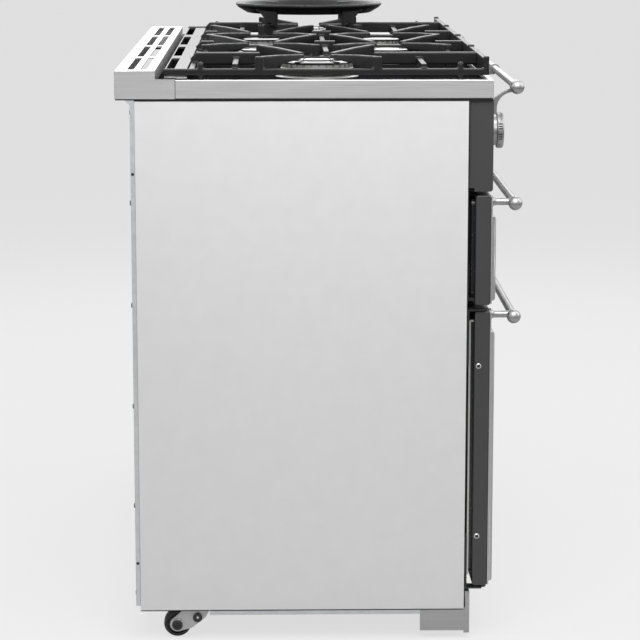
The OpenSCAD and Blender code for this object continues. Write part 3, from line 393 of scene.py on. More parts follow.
SHEET = 2 * MM
panel_lacquer = cloudy_finish("panel_lacquer", (0.72, 0.72, 0.72), 0, 0.38, 30 * MM, spread=0.014,
                              relief=0.01)
for side, inward in (("left", 1), ("right", -1)):
    low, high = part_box("side_panel_" + side)
    panel = add_block("side_panel_%s_made" % side, low, high)
    bpy.ops.object.mode_set(mode="EDIT")
    pick_faces(panel, lambda face: round(face.normal.x) == inward)
    bpy.ops.mesh.inset(thickness=SHEET)
    fold = high.x - low.x - SHEET
    bpy.ops.mesh.extrude_region_move(TRANSFORM_OT_translate={"value": (-inward * fold, 0, 0)})
    bpy.ops.object.mode_set(mode="OBJECT")
    round_edges(panel, 1.1 * MM, segments=3)
    fit(panel, panel_lacquer, "panel_steel", "cooker_body", "side_panel_" + side)

# Back panel
# Zinc-coated pan with two rows of vent slots, screwed round its edge. Dark
# screws also show on its narrow sides.
UPSTAND = 7 * MM
ROW_SCREWS = 7
ROW_END = 30 * MM
LOW_ROW = 14 * MM
HIGH_ROW = 22 * MM
COLUMN_SCREWS = 4
COLUMN_IN = 14 * MM
EDGE_SCREWS = (128 * MM, 759 * MM)
HEAD_CORNERS = 24
LOBES = 6


def lobe_screw(centre, axis, radius=4.2 * MM, height=2.2 * MM):
    """Pan-head screw with a six-lobed recess, its back at the centre point."""
    bpy.ops.object.select_all(action="DESELECT")
    bpy.ops.mesh.primitive_circle_add(vertices=HEAD_CORNERS, radius=radius, fill_type="NGON")
    screw = bpy.context.object
    bpy.ops.object.mode_set(mode="EDIT")
    bpy.ops.mesh.select_all(action="SELECT")
    bpy.ops.mesh.extrude_region_move(TRANSFORM_OT_translate={"value": (0, 0, height * 0.6)})
    bpy.ops.mesh.extrude_region_move(TRANSFORM_OT_translate={"value": (0, 0, height * 0.4)})
    bpy.ops.transform.resize(value=(0.8, 0.8, 1))
    bpy.ops.mesh.inset(thickness=radius * 0.32)
    mesh = bmesh.from_edit_mesh(screw.data)
    for corner in [v for v in mesh.verts if v.select]:
        step = round(math.atan2(corner.co.y, corner.co.x) / math.tau * HEAD_CORNERS)
        if step % (HEAD_CORNERS // LOBES) == 0:
            corner.co.xy *= 0.72
    bmesh.update_edit_mesh(screw.data)
    bpy.ops.mesh.extrude_region_move(TRANSFORM_OT_translate={"value": (0, 0, -height * 0.7)})
    bpy.ops.mesh.select_all(action="SELECT")
    bpy.ops.mesh.normals_make_consistent(inside=False)
    bpy.ops.object.mode_set(mode="OBJECT")
    stand(screw, centre, axis)
    bpy.ops.object.shade_smooth_by_angle(angle=math.radians(40))
    return screw


dark_screw = cloudy_finish("dark_screw", (0.035, 0.035, 0.035), 0.4, 0.3, 1 * MM, spread=0.1)
fit(softened("back_panel", 0.6 * MM), zinc, "galvanised", "cooker_body", "back_panel")
low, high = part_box("back_panel")
back_y = panel_high.y + UPSTAND
back_screws = []
for i in range(ROW_SCREWS):
    x = low.x + ROW_END + i * (high.x - low.x - 2 * ROW_END) / (ROW_SCREWS - 1)
    for z in (low.z + LOW_ROW, high.z - HIGH_ROW):
        back_screws.append(lobe_screw((x, back_y, z), (0, 1, 0)))
for x in (low.x + COLUMN_IN, high.x - COLUMN_IN):
    for i in range(1, COLUMN_SCREWS + 1):
        z = low.z + i * (high.z - low.z) / (COLUMN_SCREWS + 1)
        back_screws.append(lobe_screw((x, back_y, z), (0, 1, 0)))
for side in (-1, 1):
    for z in EDGE_SCREWS:
        back_screws.append(lobe_screw((side * high.x, back_y - UPSTAND / 2, z), (side, 0, 0),
                                      radius=2.4 * MM, height=0.8 * MM))
fit(joined("back_screws", back_screws), dark_screw, "hinge_steel", "cooker_body")

# Bolts of the wheel forks
# A blackened axle bolt with a six-lobed recess, ringed by a bright steel ring that is
# a painted highlight of its chamfer, and, ahead of it, a black bush whose bright pin
# holds the fork to the base.
AXLE_HEAD_R = 8.8 * MM
HIGHLIGHT_RING_R = 9.8 * MM
BUSH_R = 7.6 * MM
PIN_R = 2.3 * MM
PIN_AHEAD = 33 * MM
PIN_ABOVE = 11.9 * MM
fork_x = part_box("wheel_brackets")[1].x - 1 * MM
axle = sum(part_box("wheel_left"), Vector()) / 2
highlight_ring = [(HIGHLIGHT_RING_R - 1.8 * MM, 0), (HIGHLIGHT_RING_R, 0), (HIGHLIGHT_RING_R, 0.6 * MM), (HIGHLIGHT_RING_R - 0.5 * MM, 1.1 * MM),
          (HIGHLIGHT_RING_R - 1.8 * MM, 1.1 * MM), (HIGHLIGHT_RING_R - 1.8 * MM, 0)]
bush = [(PIN_R + 0.1 * MM, 0), (BUSH_R, 0), (BUSH_R, 1.6 * MM), (BUSH_R - 1 * MM, 2.4 * MM),
        (3 * MM, 2.4 * MM), (PIN_R + 0.1 * MM, 1.4 * MM), (PIN_R + 0.1 * MM, 0)]
pin = [(0, 0), (PIN_R, 0), (PIN_R, 1.4 * MM), (1.4 * MM, 2.2 * MM), (0, 2.4 * MM)]
fork_bolts, fork_pins_and_highlight_rings = [], []
for side in (-1, 1):
    at = (side * fork_x, axle.y, axle.z)
    fork_bolts.append(lobe_screw(at, (side, 0, 0), radius=AXLE_HEAD_R, height=3.4 * MM))
    # The bright steel ring round each bolt head is a painted highlight of the head's chamfer.
    fork_pins_and_highlight_rings.append(turned("highlight_ring", highlight_ring, at, (side, 0, 0), steps=40))
    at = (side * fork_x, axle.y - PIN_AHEAD, axle.z + PIN_ABOVE)
    fork_bolts.append(turned("bush", bush, at, (side, 0, 0), steps=32))
    fork_pins_and_highlight_rings.append(turned("pin", pin, at, (side, 0, 0), steps=16))
fit(joined("fork_bolts", fork_bolts), dark_screw, "hinge_steel", "cooker_body")
fit(joined("fork_pins_and_highlight_rings", fork_pins_and_highlight_rings), plain_steel, "hinge_steel", "cooker_body")


# Front frame, seals and hinges
# The frame is black enamelled sheet behind the doors. Silicone seals lie round
# its openings, and the hinges bolted to it are black: painted shade for the dark
# gap between the side panels and the doors.
def dress(finish, *names):
    """Puts a finish on CAD nodes that show as they are."""
    for name in names:
        for slot in nodes[name].material_slots:
            slot.material = finish


black_enamel = cloudy_finish("black_enamel", (0.018, 0.018, 0.019), 0, 0.3, 3 * MM, spread=0.1, relief=0.03)
silicone_and_shade = cloudy_finish("silicone_and_shade", (0.012, 0.012, 0.012), 0, 0.75, 0.6 * MM, spread=0.1, relief=0.1,
                         specular=0.2)
dress(black_enamel, "front_frame")
fit(softened("oven_seals", 1.2 * MM, segments=3), silicone_and_shade, "seal_rubber", "cooker_body", "oven_seals")
# The hinges' black is painted shade for the dark gap beside the doors.
fit(softened("door_hinges", 0.4 * MM), black_enamel, "hinge_steel", "cooker_body", "door_hinges")


# Ovens and grill
# The cavities are pressed steel under black glass enamel with fine pale flecks.
# Chromed wire racks lie on their ledges, and sheathed elements are let through the back.
def flecked_enamel(name, colour, fleck, apart):
    """Glassy enamel with sparse pale flecks about a millimetre across, at a mean distance apart."""
    made = bpy.data.materials.new(name)
    made.use_nodes = True
    tree = made.node_tree
    shader = tree.nodes["Principled BSDF"]
    shader.inputs["Roughness"].default_value = 0.22
    shader.inputs["Coat Weight"].default_value = 0.3
    place = tree.nodes.new("ShaderNodeTexCoord")
    cells = tree.nodes.new("ShaderNodeTexVoronoi")
    cells.inputs["Scale"].default_value = 1 / apart
    tint = tree.nodes.new("ShaderNodeValToRGB")
    tint.color_ramp.elements[0].position = 0.10
    tint.color_ramp.elements[0].color = (*fleck, 1)
    tint.color_ramp.elements[1].position = 0.16
    tint.color_ramp.elements[1].color = (*colour, 1)
    tree.links.new(place.outputs["Object"], cells.inputs["Vector"])
    tree.links.new(cells.outputs["Distance"], tint.inputs["Fac"])
    tree.links.new(tint.outputs["Color"], shader.inputs["Base Color"])
    return made


oven_enamel = flecked_enamel("oven_enamel", (0.014, 0.015, 0.019), (0.22, 0.23, 0.25), 4.5 * MM)
chrome_wire = cloudy_finish("chrome_wire", (0.66, 0.66, 0.67), 1, 0.16, 1 * MM, spread=0.03)
element_sheath = cloudy_finish("element_sheath", (0.10, 0.085, 0.075), 0.6, 0.45, 6 * MM, spread=0.3)
dress(oven_enamel, "grill_liner", "left_oven_liner", "right_oven_liner")
dress(chrome_wire, "oven_racks")
dress(element_sheath, "heating_elements")

# Plinth
# Brushed steel kick plate in front of the feet, folded from one sheet with a
# short return along each side. Its steel is made darker than the trim's as
# painted shade.
STROKE_W = 1.1 * MM
STROKE_PULL = 0.012


def brushed_finish(name, colour, roughness, relief=0.05):
    """Brushed steel: the lines run level on upright faces and across the width on level ones."""
    made = bpy.data.materials.new(name)
    made.use_nodes = True
    tree = made.node_tree
    tree.nodes["Principled BSDF"].inputs["Metallic"].default_value = 0.9
    place = tree.nodes.new("ShaderNodeTexCoord")
    facing = tree.nodes.new("ShaderNodeSeparateXYZ")
    level = tree.nodes.new("ShaderNodeMath")
    level.operation = "ABSOLUTE"
    lines = tree.nodes.new("ShaderNodeMix")
    for key, stretch in (("A", (STROKE_PULL, STROKE_PULL, 1)), ("B", (STROKE_PULL, 1, STROKE_PULL))):
        across = tree.nodes.new("ShaderNodeMapping")
        across.inputs["Scale"].default_value = stretch
        strokes = tree.nodes.new("ShaderNodeTexNoise")
        strokes.inputs["Scale"].default_value = 1 / STROKE_W
        strokes.inputs["Detail"].default_value = 4
        tree.links.new(place.outputs["Object"], across.inputs["Vector"])
        tree.links.new(across.outputs["Vector"], strokes.inputs["Vector"])
        tree.links.new(strokes.outputs["Fac"], lines.inputs[key])
    tree.links.new(place.outputs["Normal"], facing.inputs["Vector"])
    tree.links.new(facing.outputs["Z"], level.inputs[0])
    tree.links.new(level.outputs["Value"], lines.inputs["Factor"])
    vary(made, lines.outputs["Result"], colour, 0.07, roughness, 0.2, relief, 0.2 * MM)
    return made


brushed_trim = brushed_finish("brushed_trim", (0.50, 0.50, 0.50), 0.34)
# Darker copy of the trim's brushed steel: painted shade on the plinth.
plinth_steel_shaded = brushed_finish("plinth_steel_shaded", (0.40, 0.40, 0.40), 0.38)
fit(softened("plinth", 0.8 * MM), plinth_steel_shaded, "brushed_trim", "cooker_body", "plinth")

# Gas manifold
# Dull brass pipe behind the control panel, with a tapped valve for each gas knob
# and an elbow to the inlet at the back.
brass = cloudy_finish("brass", (0.52, 0.38, 0.18), 0.9, 0.36, 8 * MM, spread=0.1)
dress(brass, "gas_manifold")
dress(plain_steel, *[name for name in nodes if name.startswith("spindle_")])


# Hob well, surround and rear trim
# The well is matt black enamel with no reflection, and its black is partly painted
# shade under the grates. The well's slotted rear boxes, the folded surround and the
# slotted vent trim are brushed steel. Black gasket strips under and between them are
# partly painted shade in the gaps there.
def second_finish(piece, finish, wanted):
    """Puts another finish on the faces of a piece that pass a test."""
    piece.data.materials.append(finish)
    for face in piece.data.polygons:
        face.material_index = int(wanted(face))


hob_steel = brushed_finish("hob_steel", (0.46, 0.46, 0.46), 0.09, relief=0.01)
side_trim = brushed_finish("side_trim", (0.63, 0.63, 0.63), 0.38)
well_enamel_and_shade = cloudy_finish("well_enamel_and_shade", (0.013, 0.013, 0.014), 0, 0.5, 2 * MM, spread=0.3, relief=0.05,
                            specular=0)
WELL_DEPTH = 6.4 * MM
hob_low, hob_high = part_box("hob_surround")
deck_z = hob_high.z - WELL_DEPTH
deck = softened("hob_deck", 0.5 * MM)
fit(deck, hob_steel, "hob_steel", "cooker_body", "hob_deck")
# The well's black with no reflection is partly painted shade under the grates.
second_finish(deck, well_enamel_and_shade, lambda face: face.center.z < deck_z + 0.1 * MM)
surround = softened("hob_surround", 1.2 * MM, segments=3)
fit(surround, side_trim, "brushed_trim", "cooker_body", "hob_surround")
fit(softened("rear_vent_trim", 0.7 * MM), side_trim, "brushed_trim", "cooker_body", "rear_vent_trim")
trim_low, trim_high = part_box("rear_vent_trim")
# The black strips are partly gasket and partly painted shade: they darken the gaps round the hob trims and
# along the side panels' edges.
SHADE_GASKET_W = 9 * MM
shade_gasket_x = hob_high.x - 0.5 * MM
# Width, outer face, front, rear, bottom and top of each run: under the surround, under the
# rear trim, between the two, below the side panel and down the panel's front edge
shade_gasket_runs = (
    (SHADE_GASKET_W, shade_gasket_x, hob_low.y + 1 * MM, panel_high.y, panel_high.z - 2.8 * MM, hob_low.z + 0.9 * MM),
    (SHADE_GASKET_W, shade_gasket_x, panel_high.y, trim_high.y - 1 * MM, trim_low.z - 1.8 * MM, trim_low.z + 0.4 * MM),
    (SHADE_GASKET_W, shade_gasket_x - 0.6 * MM, hob_high.y - 0.6 * MM, hob_high.y + 1.6 * MM,
     hob_low.z + 1 * MM, hob_high.z - 1 * MM),
    (SHADE_GASKET_W, shade_gasket_x - 1.6 * MM, panel_low.y + 1 * MM, panel_high.y,
     panel_low.z - 1.6 * MM, panel_low.z + 0.3 * MM),
    (5.6 * MM, -panel_low.x - 0.4 * MM, panel_low.y - 1.4 * MM, panel_low.y + 0.5 * MM,
     panel_low.z + 2 * MM, panel_high.z))
shade_gasket_parts = []
for side in (-1, 1):
    for width, outer, y0, y1, z0, z1 in shade_gasket_runs:
        x0, x1 = sorted((side * outer, side * (outer - width)))
        shade_gasket_parts.append(add_block("gasket", (x0, y0, z0), (x1, y1, z1)))
for part in shade_gasket_parts:
    round_edges(part, 0.3 * MM)
fit(joined("trim_gasket_and_shade", shade_gasket_parts), silicone_and_shade, "seal_rubber", "cooker_body")

# Burners
# Cast aluminium bowls and flame crowns with a gas port between each pair of
# teeth, under black enamelled caps. A white ceramic spark plug stands by each.
bowl_low, bowl_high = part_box("burner_bowls")
wok_low, wok_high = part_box("wok_ring")
crown_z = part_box("burner_crowns")[0].z
LARGE_R = 59 * MM
SMALL_R = 34 * MM
LIP = 9 * MM
CROWN_H = 13 * MM
INNER_RISE = 3 * MM
INNER_PORTS = 12
PLUG_OUT = 4 * MM
large_y = (wok_low.y + wok_high.y) / 2
small_ys = (bowl_high.y - SMALL_R - LIP, bowl_low.y + SMALL_R + LIP)
columns = [sum(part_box("grate_%d" % i), Vector()).x / 2 for i in range(1, 5)]
burners = [(columns[0], large_y, LARGE_R, 30), (columns[3], large_y, LARGE_R, 30)]
burners += [(x, y, SMALL_R, 20) for x in columns[1:3] for y in small_ys]
burner_alloy = cloudy_finish("burner_alloy", (0.44, 0.44, 0.43), 0.75, 0.38, 0.9 * MM, relief=0.12)
cap_enamel = cloudy_finish("cap_enamel", (0.014, 0.014, 0.015), 0, 0.14, 1.2 * MM, spread=0.1, relief=0.01,
                           coat=1)
ceramic = cloudy_finish("ceramic", (0.78, 0.77, 0.73), 0, 0.3, 2 * MM, spread=0.03)
bowls, crowns, caps, plugs = [], [], [], []


def flame_crown(x, y, r, ports, base, top):
    """Turned ring whose upper wall is pressed in at each gas port."""
    height = top - base
    outline = [(0, 0), (r - 5 * MM, 0), (r - 1 * MM, height * 0.36), (r, height * 0.42),
               (r, height * 0.50), (r - 1 * MM, height * 0.55), (r - 1 * MM, height),
               (r - 7 * MM, height), (r - 8 * MM, height * 0.4), (0, height * 0.3)]
    crown = turned("crown", outline, (x, y, base), (0, 0, 1), steps=ports * 3)
    bpy.ops.object.mode_set(mode="EDIT")

    def is_port(face):
        at = face.calc_center_median() - Vector((x, y, base))
        upper_wall = math.hypot(at.x, at.y) > r - 3 * MM and at.z > height * 0.6
        step = math.floor((math.atan2(at.y, at.x) / (2 * math.pi) % 1) * ports * 3)
        return upper_wall and abs(face.normal.z) < 0.2 and step % 3 == 0

    pick_faces(crown, is_port)
    bpy.ops.mesh.inset(thickness=0.25 * MM, use_individual=True)
    bpy.ops.mesh.extrude_faces_move(TRANSFORM_OT_shrink_fatten={"value": -2.6 * MM})
    bpy.ops.object.mode_set(mode="OBJECT")
    bpy.ops.object.shade_smooth_by_angle(angle=math.radians(30))
    return crown


for x, y, r, ports in burners:
    bowl = [(0, -10 * MM), (r - 10 * MM, -10 * MM), (r - 4 * MM, 0.6 * MM), (r - 2 * MM, 2 * MM),
            (r + 2 * MM, 3 * MM), (r + LIP - 1 * MM, 2 * MM), (r + LIP, 1.2 * MM), (r + LIP, 0),
            (r - 0.4 * MM, 0), (r - 0.4 * MM, -7 * MM), (r - 8 * MM, -16 * MM), (0, -16 * MM)]
    bowls.append(turned("bowl", bowl, (x, y, deck_z), (0, 0, 1), steps=64))
    stem = [(0, -11 * MM), (r * 0.42, -11 * MM), (r * 0.38, -4 * MM), (r * 0.42, 8.5 * MM), (0, 8.5 * MM)]
    bowls.append(turned("stem", stem, (x, y, deck_z), (0, 0, 1)))
    top = crown_z + CROWN_H
    crowns.append(flame_crown(x, y, r, ports, crown_z, top))
    if r == LARGE_R:
        inner = r * 0.38
        crowns.append(flame_crown(x, y, inner, INNER_PORTS, crown_z + INNER_RISE, top + INNER_RISE))
        ring = [(inner + 5 * MM, 0), (r - 1.6 * MM, 0), (r - 1 * MM, 0.8 * MM), (r - 1 * MM, 3 * MM),
                (r - 4 * MM, 5 * MM), (inner + 8 * MM, 5 * MM), (inner + 5 * MM, 3.5 * MM),
                (inner + 5 * MM, 0)]
        caps.append(turned("cap", ring, (x, y, top), (0, 0, 1), steps=80))
        r_cap, top = inner + 1 * MM, top + INNER_RISE
    else:
        r_cap = r + 1 * MM
    disc = [(0, 0), (r_cap - 1 * MM, 0), (r_cap, 0.8 * MM), (r_cap, 3 * MM), (r_cap - 3 * MM, 4.4 * MM),
            (r_cap * 0.5, 4.8 * MM), (0, 5 * MM)]
    caps.append(turned("cap", disc, (x, y, top), (0, 0, 1), steps=64))
    at = Vector((x, y, deck_z)) + Vector((1, -1, 0)).normalized() * (r + PLUG_OUT)
    plug = [(0, 0), (2.6 * MM, 0), (2.6 * MM, 4 * MM), (1.9 * MM, 5 * MM), (1.9 * MM, 12 * MM),
            (0.8 * MM, 13 * MM), (0.8 * MM, 16 * MM), (0, 16.4 * MM)]
    plugs.append(turned("plug", plug, at, (0, 0, 1), steps=16))
fit(joined("burner_bowls_made", bowls), burner_alloy, "burner_alloy", "cooker_body", "burner_bowls")
fit(joined("burner_crowns_made", crowns), burner_alloy, "burner_alloy", "cooker_body", "burner_crowns")
fit(joined("burner_caps_made", caps), cap_enamel, "cap_enamel", "cooker_body", "burner_caps")
fit(joined("spark_plugs", plugs), ceramic, "burner_alloy", "cooker_body")

# Grates and wok ring
# Black enamelled cast iron with a fine sandy skin and rounded edges. They only
# rest on the hob, and the wok ring sits over the last grate's fingers.
SAND = 1.3 * MM
WEB_T = 6.8 * MM
WEB_SPREAD = 24 * MM
WEB_HEIGHT = 24 * MM
WEB_START = 10 * MM
WEB_TOP = wok_high.z - 11.5 * MM
cast_iron = cloudy_finish("cast_iron", (0.010, 0.010, 0.0105), 0, 0.32, SAND, spread=0.25, relief=0.25,
                          specular=0.3)


def cast_copy(node, webs=()):
    """Copy of a CAD node with every edge and inner corner rounded as in a sand casting."""
    piece = merged_copy(node)
    bpy.ops.object.mode_set(mode="OBJECT")
    if webs:
        piece = joined(piece.name, [piece, *webs])
    skin = piece.modifiers.new("skin", "REMESH")
    skin.mode = "VOXEL"
    skin.voxel_size = SAND
    bpy.ops.object.modifier_apply(modifier=skin.name)
    ease = piece.modifiers.new("ease", "SMOOTH")
    ease.factor = 0.5
    ease.iterations = 3
    bpy.ops.object.modifier_apply(modifier=ease.name)
    thin = piece.modifiers.new("thin", "DECIMATE")
    thin.ratio = 0.3
    bpy.ops.object.modifier_apply(modifier=thin.name)
    bpy.ops.object.shade_smooth_by_angle(angle=math.radians(50))
    return piece


def leg_web(foot, centre):
    """Curved web that spreads the head of a leg along the skirt of the wok ring."""
    out = (foot - centre).normalized()
    along = Vector((-out.y, out.x, 0)) * (1 if out.x * foot.y > 0 else -1)
    web = add_block("web", (-WEB_T / 2, 0, 0), (WEB_T / 2, WEB_SPREAD, WEB_HEIGHT))
    bpy.ops.object.mode_set(mode="EDIT")
    bpy.ops.mesh.select_all(action="SELECT")
    bpy.ops.mesh.subdivide(number_cuts=5)
    bpy.ops.object.mode_set(mode="OBJECT")
    for corner in web.data.vertices:
        rise = 0.86 * WEB_HEIGHT * (1 - (1 - corner.co.y / WEB_SPREAD) ** 2)
        corner.co.z = rise + corner.co.z * (1 - rise / WEB_HEIGHT)
        local = corner.co.copy()
        corner.co = foot + out * local.x + along * (local.y + WEB_START)
        corner.co.z = WEB_TOP - WEB_HEIGHT + local.z
    if out.x * along.y - out.y * along.x < 0:
        bpy.ops.object.mode_set(mode="EDIT")
        bpy.ops.mesh.select_all(action="SELECT")
        bpy.ops.mesh.flip_normals()
        bpy.ops.object.mode_set(mode="OBJECT")
    return web


centre = (wok_low + wok_high) / 2
centre.z = 0
webs = []
for sx, sy in ((-1, -1), (-1, 1), (1, -1), (1, 1)):
    feet = [v.co for v in nodes["wok_ring"].data.vertices if v.co.z < wok_low.z + 1 * MM
            and (v.co.x - centre.x) * sx > 0 and (v.co.y - centre.y) * sy > 0]
    foot = sum(feet, Vector()) / len(feet)
    foot.z = 0
    webs.append(leg_web(foot, centre))
for node in ("grate_1", "grate_2", "grate_3", "grate_4"):
    fit(cast_copy(node), cast_iron, "cast_iron", node, node)
fit(cast_copy("wok_ring", webs), cast_iron, "cast_iron", "wok_ring", "wok_ring")

# Control panel
# Brushed steel fascia between two charcoal end caps, with a bezel behind each
# knob and small dark index marks on the face round it.
charcoal = cloudy_finish("charcoal", (0.047, 0.047, 0.048), 0, 0.40, 1.5 * MM, spread=0.05, relief=0.05)
polished = cloudy_finish("polished", (0.37, 0.37, 0.375), 1, 0.36, 1.5 * MM, spread=0.02, relief=0.01)
mark_paint = cloudy_finish("mark_paint", (0.02, 0.02, 0.02), 0, 0.5, 1 * MM, spread=0.1)
fascia = softened("control_panel", 0.8 * MM)
fit(fascia, brushed_trim, "brushed_trim", "cooker_body", "control_panel")
fit(softened("control_panel_ends", 1 * MM, segments=3), charcoal, "charcoal_enamel", "cooker_body",
    "control_panel_ends")
fascia_low, fascia_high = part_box("control_panel")
second_finish(fascia, black_enamel, lambda face: abs(face.center.x) > fascia_high.x - 1.2 * MM)
OVEN_KNOBS = (4, 5, 6)
OVEN_TURN = 270
GAS_TURN = 210
BEZEL_R = 26.5 * MM
STEM_HOLE_R = 9 * MM
MARK_IN = 33 * MM
knobs = {}
for i in range(1, 10):
    low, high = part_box("knob_%d" % i)
    knobs[i] = Vector(((low.x + high.x) / 2, high.y, (low.z + high.z) / 2))
bezel = [(STEM_HOLE_R, 0), (BEZEL_R, 0), (BEZEL_R, 1 * MM), (BEZEL_R - 1.2 * MM, 1.8 * MM),
         (BEZEL_R - 3 * MM, 1.8 * MM), (BEZEL_R - 4 * MM, 1 * MM), (STEM_HOLE_R, 1 * MM), (STEM_HOLE_R, 0)]
bezels, marks = [], []
for i, centre in knobs.items():
    face = Vector((centre.x, fascia_low.y, centre.z))
    bezels.append(turned("bezel", bezel, face, (0, -1, 0), steps=64))
    sweep, steps = (OVEN_TURN, 10) if i in OVEN_KNOBS else (-GAS_TURN, 8)
    for k in range(steps):
        turn = math.radians(sweep) * k / (steps - 1)
        mark_end = MARK_IN + (5 if k % 3 == 0 else 3) * MM
        mark = add_block("mark", (-0.5 * MM, -0.15 * MM, MARK_IN), (0.5 * MM, 0.05 * MM, mark_end))
        stand(mark, face, (math.sin(turn), 0, math.cos(turn)))
        marks.append(mark)
fit(joined("knob_bezels", bezels), polished, "polished_steel", "cooker_body")
fit(joined("dial_marks", marks), mark_paint, "charcoal_enamel", "cooker_body")

# Knobs
# Turned from polished steel: a narrow collar behind a thick disc with a groove near
# its edge. A black pointer line is let into its face and black grip lines into its rim;
# the grip lines are partly painted reflection, the dark bands on the rim's flank.
KNOB_R = 29 * MM
COLLAR_R = 24.4 * MM
COLLAR_SHARE = 0.38
OVEN_KNOB_OUT = 6 * MM
GRIP_AND_REFLECTION_W = 2.5 * MM
GRIP_AND_REFLECTION_TURNS = [half + side * turn for half in (0, 180) for side in (-1, 1) for turn in (9.5, 17, 24.5)]
POINTER_W = 3.2 * MM
pointer_black = cloudy_finish("pointer_black", (0.012, 0.012, 0.012), 0, 0.35, 1 * MM, spread=0.1)
for i, centre in knobs.items():
    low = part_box("knob_%d" % i)[0]
    if i in OVEN_KNOBS:
        centre.y = fascia_low.y - OVEN_KNOB_OUT
    length = centre.y - low.y
    face = length - 1.2 * MM
    back = length * COLLAR_SHARE
    disc = [(0, 0), (COLLAR_R, 0), (COLLAR_R, length * 0.34), (COLLAR_R + 0.8 * MM, back),
            (KNOB_R - 1.2 * MM, back), (KNOB_R, back + 1.2 * MM), (KNOB_R, face - 2 * MM),
            (KNOB_R - 0.6 * MM, face - 0.8 * MM), (KNOB_R - 1.8 * MM, face), (KNOB_R - 3.4 * MM, face),
            (KNOB_R - 4 * MM, face - 0.7 * MM), (KNOB_R - 4.8 * MM, face - 0.7 * MM),
            (KNOB_R - 5.4 * MM, face), (10 * MM, face - 0.2 * MM), (0, face - 0.2 * MM)]
    knob = turned("knob_%d_made" % i, disc, centre, (0, -1, 0), steps=96)
    fit(knob, polished, "polished_steel", "knob_%d" % i, "knob_%d" % i)
    lines = [add_block("pointer", (centre.x - POINTER_W / 2, low.y, centre.z + 6 * MM),
                       (centre.x + POINTER_W / 2, low.y + 2.4 * MM, centre.z + KNOB_R - 7 * MM))]
    # The grip lines are partly painted reflection: the dark bands on the rim's flank.
    for turn in GRIP_AND_REFLECTION_TURNS:
        line = add_block("grip_and_reflection", (KNOB_R - 2 * MM, -face + 2.4 * MM, -GRIP_AND_REFLECTION_W / 2),
                         (KNOB_R + 0.15 * MM, -back - 1.6 * MM, GRIP_AND_REFLECTION_W / 2))
        line.rotation_euler.y = math.radians(turn)
        line.location = centre
        bpy.ops.object.transform_apply(location=True, rotation=True, scale=True)
        lines.append(line)
    for line in lines:
        round_edges(line, 0.4 * MM)
    fit(joined("pointer_%d" % i, lines), pointer_black, "charcoal_enamel", "knob_%d" % i)

# Doors
# Charcoal enamelled frames carry brushed steel skins with a raised panel, held from
# the side by screws in cup washers. The inner pans have a bright rim at the hinges.
door_steel = brushed_finish("door_steel", (0.52, 0.52, 0.52), 0.32)
for door in ("grill_door", "left_door", "right_door"):
    fit(softened(door + "_frame", 1.5 * MM, segments=3), charcoal, "charcoal_enamel", door, door + "_frame")
    fit(softened(door + "_skin", 0.7 * MM), door_steel, "brushed_trim", door, door + "_skin")
    dress(oven_enamel, door + "_liner")
CUP_R = 4.4 * MM
LOW_SCREW = 83 * MM
HIGH_SCREW = 88 * MM
SCREW_BACK = 17.3 * MM
cup = [(0, 0), (CUP_R, 0), (CUP_R, 0.5 * MM), (CUP_R - 1 * MM, 1.3 * MM), (CUP_R - 1.6 * MM, 1.2 * MM),
       (CUP_R - 2 * MM, 0.6 * MM), (0, 0.6 * MM)]
for door, side in (("left_door", -1), ("right_door", 1)):
    low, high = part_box(door + "_frame")
    washers, heads = [], []
    for z in (low.z + LOW_SCREW, high.z - HIGH_SCREW):
        at = Vector((max(side * low.x, side * high.x) * side, low.y + SCREW_BACK, z))
        washers.append(turned("cup", cup, at, (side, 0, 0), steps=32))
        heads.append(lobe_screw(at + Vector((side * 0.3 * MM, 0, 0)), (side, 0, 0), radius=2.3 * MM,
                                height=1.2 * MM))
    fit(joined(door + "_cup_washers", washers), plain_steel, "hinge_steel", door)
    fit(joined(door + "_cup_screws", heads), dark_screw, "hinge_steel", door)
    low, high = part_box(door + "_liner")
    edge = max(side * low.x, side * high.x)
    rim = []
    # Front, rear, bottom and top of the upright run and of the level run above it
    for y0, y1, z0, z1 in ((high.y - 0.8 * MM, high.y + 2.7 * MM, low.z + 1 * MM, high.z - 8 * MM),
                           (high.y - 5 * MM, high.y + 1 * MM, high.z - 9.6 * MM, high.z - 6.6 * MM)):
        x0, x1 = sorted((side * (edge - 1 * MM), side * (edge + 0.8 * MM)))
        rim.append(add_block("rim", (x0, y0, z0), (x1, y1, z1)))
        round_edges(rim[-1], 0.5 * MM)
    fit(joined(door + "_pan_rim", rim), plain_steel, "hinge_steel", door)


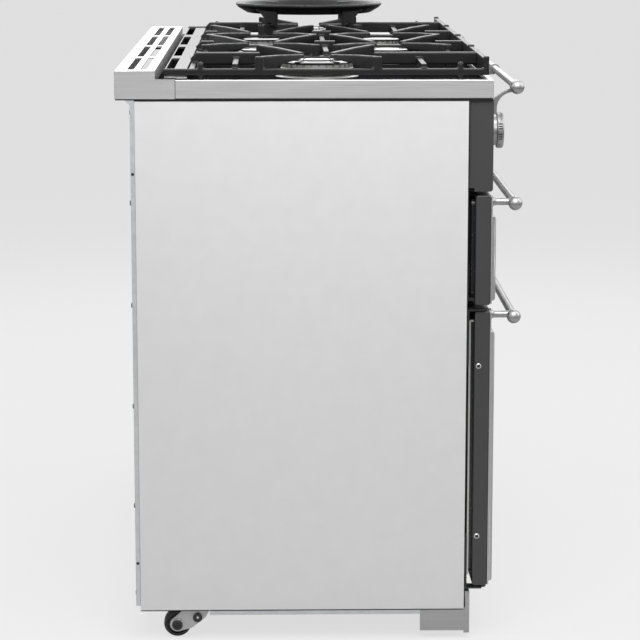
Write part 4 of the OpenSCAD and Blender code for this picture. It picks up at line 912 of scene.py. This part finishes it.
# Handles and hand rail
# Polished bars turned with a ball and a flared ferrule at each end. The door
# handles stand on turned posts, and the rail is held by curved brackets.
def bar_outline(length, bar_r, ball_r):
    """Half section of a bar from ball to ball."""
    ball = [(ball_r * math.sin(math.radians(a)), ball_r - ball_r * math.cos(math.radians(a)))
            for a in range(0, 136, 9)]
    ferrule = [(ball_r * 0.66, ball_r * 1.80), (ball_r * 0.80, ball_r * 1.88), (ball_r * 0.82, ball_r * 2),
               (ball_r * 0.68, ball_r * 2.3), (bar_r + 0.5 * MM, ball_r * 2.72),
               (bar_r + 0.5 * MM, ball_r * 2.84), (bar_r, ball_r * 2.9)]
    end = ball + ferrule
    return end + [(r, length - h) for r, h in reversed(end)]


BALL_R = 11.2 * MM
BAR_R = 6.5 * MM
RAIL_R = 6 * MM
POST_IN = 22 * MM
POST_R = 5.6 * MM
low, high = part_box("hand_rail")
rail_y = (low.y + high.y) / 2
rail_end = (low.x, rail_y, (low.z + high.z) / 2)
rail = turned("hand_rail_made", bar_outline(high.x - low.x, RAIL_R, BALL_R), rail_end, (1, 0, 0))
fit(rail, polished, "polished_steel", "cooker_body", "hand_rail")
brackets = softened("rail_brackets", 0.8 * MM, segments=3)
fit(brackets, polished, "polished_steel", "cooker_body", "rail_brackets")
for door in ("grill_door", "left_door", "right_door"):
    low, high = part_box(door + "_handle")
    bar_z = low.z + BALL_R
    skin_y = high.y
    parts = [turned("bar", bar_outline(high.x - low.x, BAR_R, BALL_R), (low.x, rail_y, bar_z), (1, 0, 0))]
    reach = skin_y - rail_y
    foot = [(0, 0), (10 * MM, 0), (10 * MM, 1.6 * MM), (9 * MM, 2.6 * MM), (7.4 * MM, 3.4 * MM)]
    post = foot + [(POST_R + 0.6 * MM, 5.6 * MM), (POST_R, 9 * MM), (POST_R, reach - 9 * MM),
                   (POST_R + 0.6 * MM, reach - 7.5 * MM), (POST_R + 0.6 * MM, reach), (0, reach)]
    for x in (low.x + BALL_R + POST_IN, high.x - BALL_R - POST_IN):
        parts.append(turned("post", post, (x, skin_y, bar_z), (0, -1, 0)))
    fit(joined(door + "_handle_made", parts), polished, "polished_steel", door, door + "_handle")
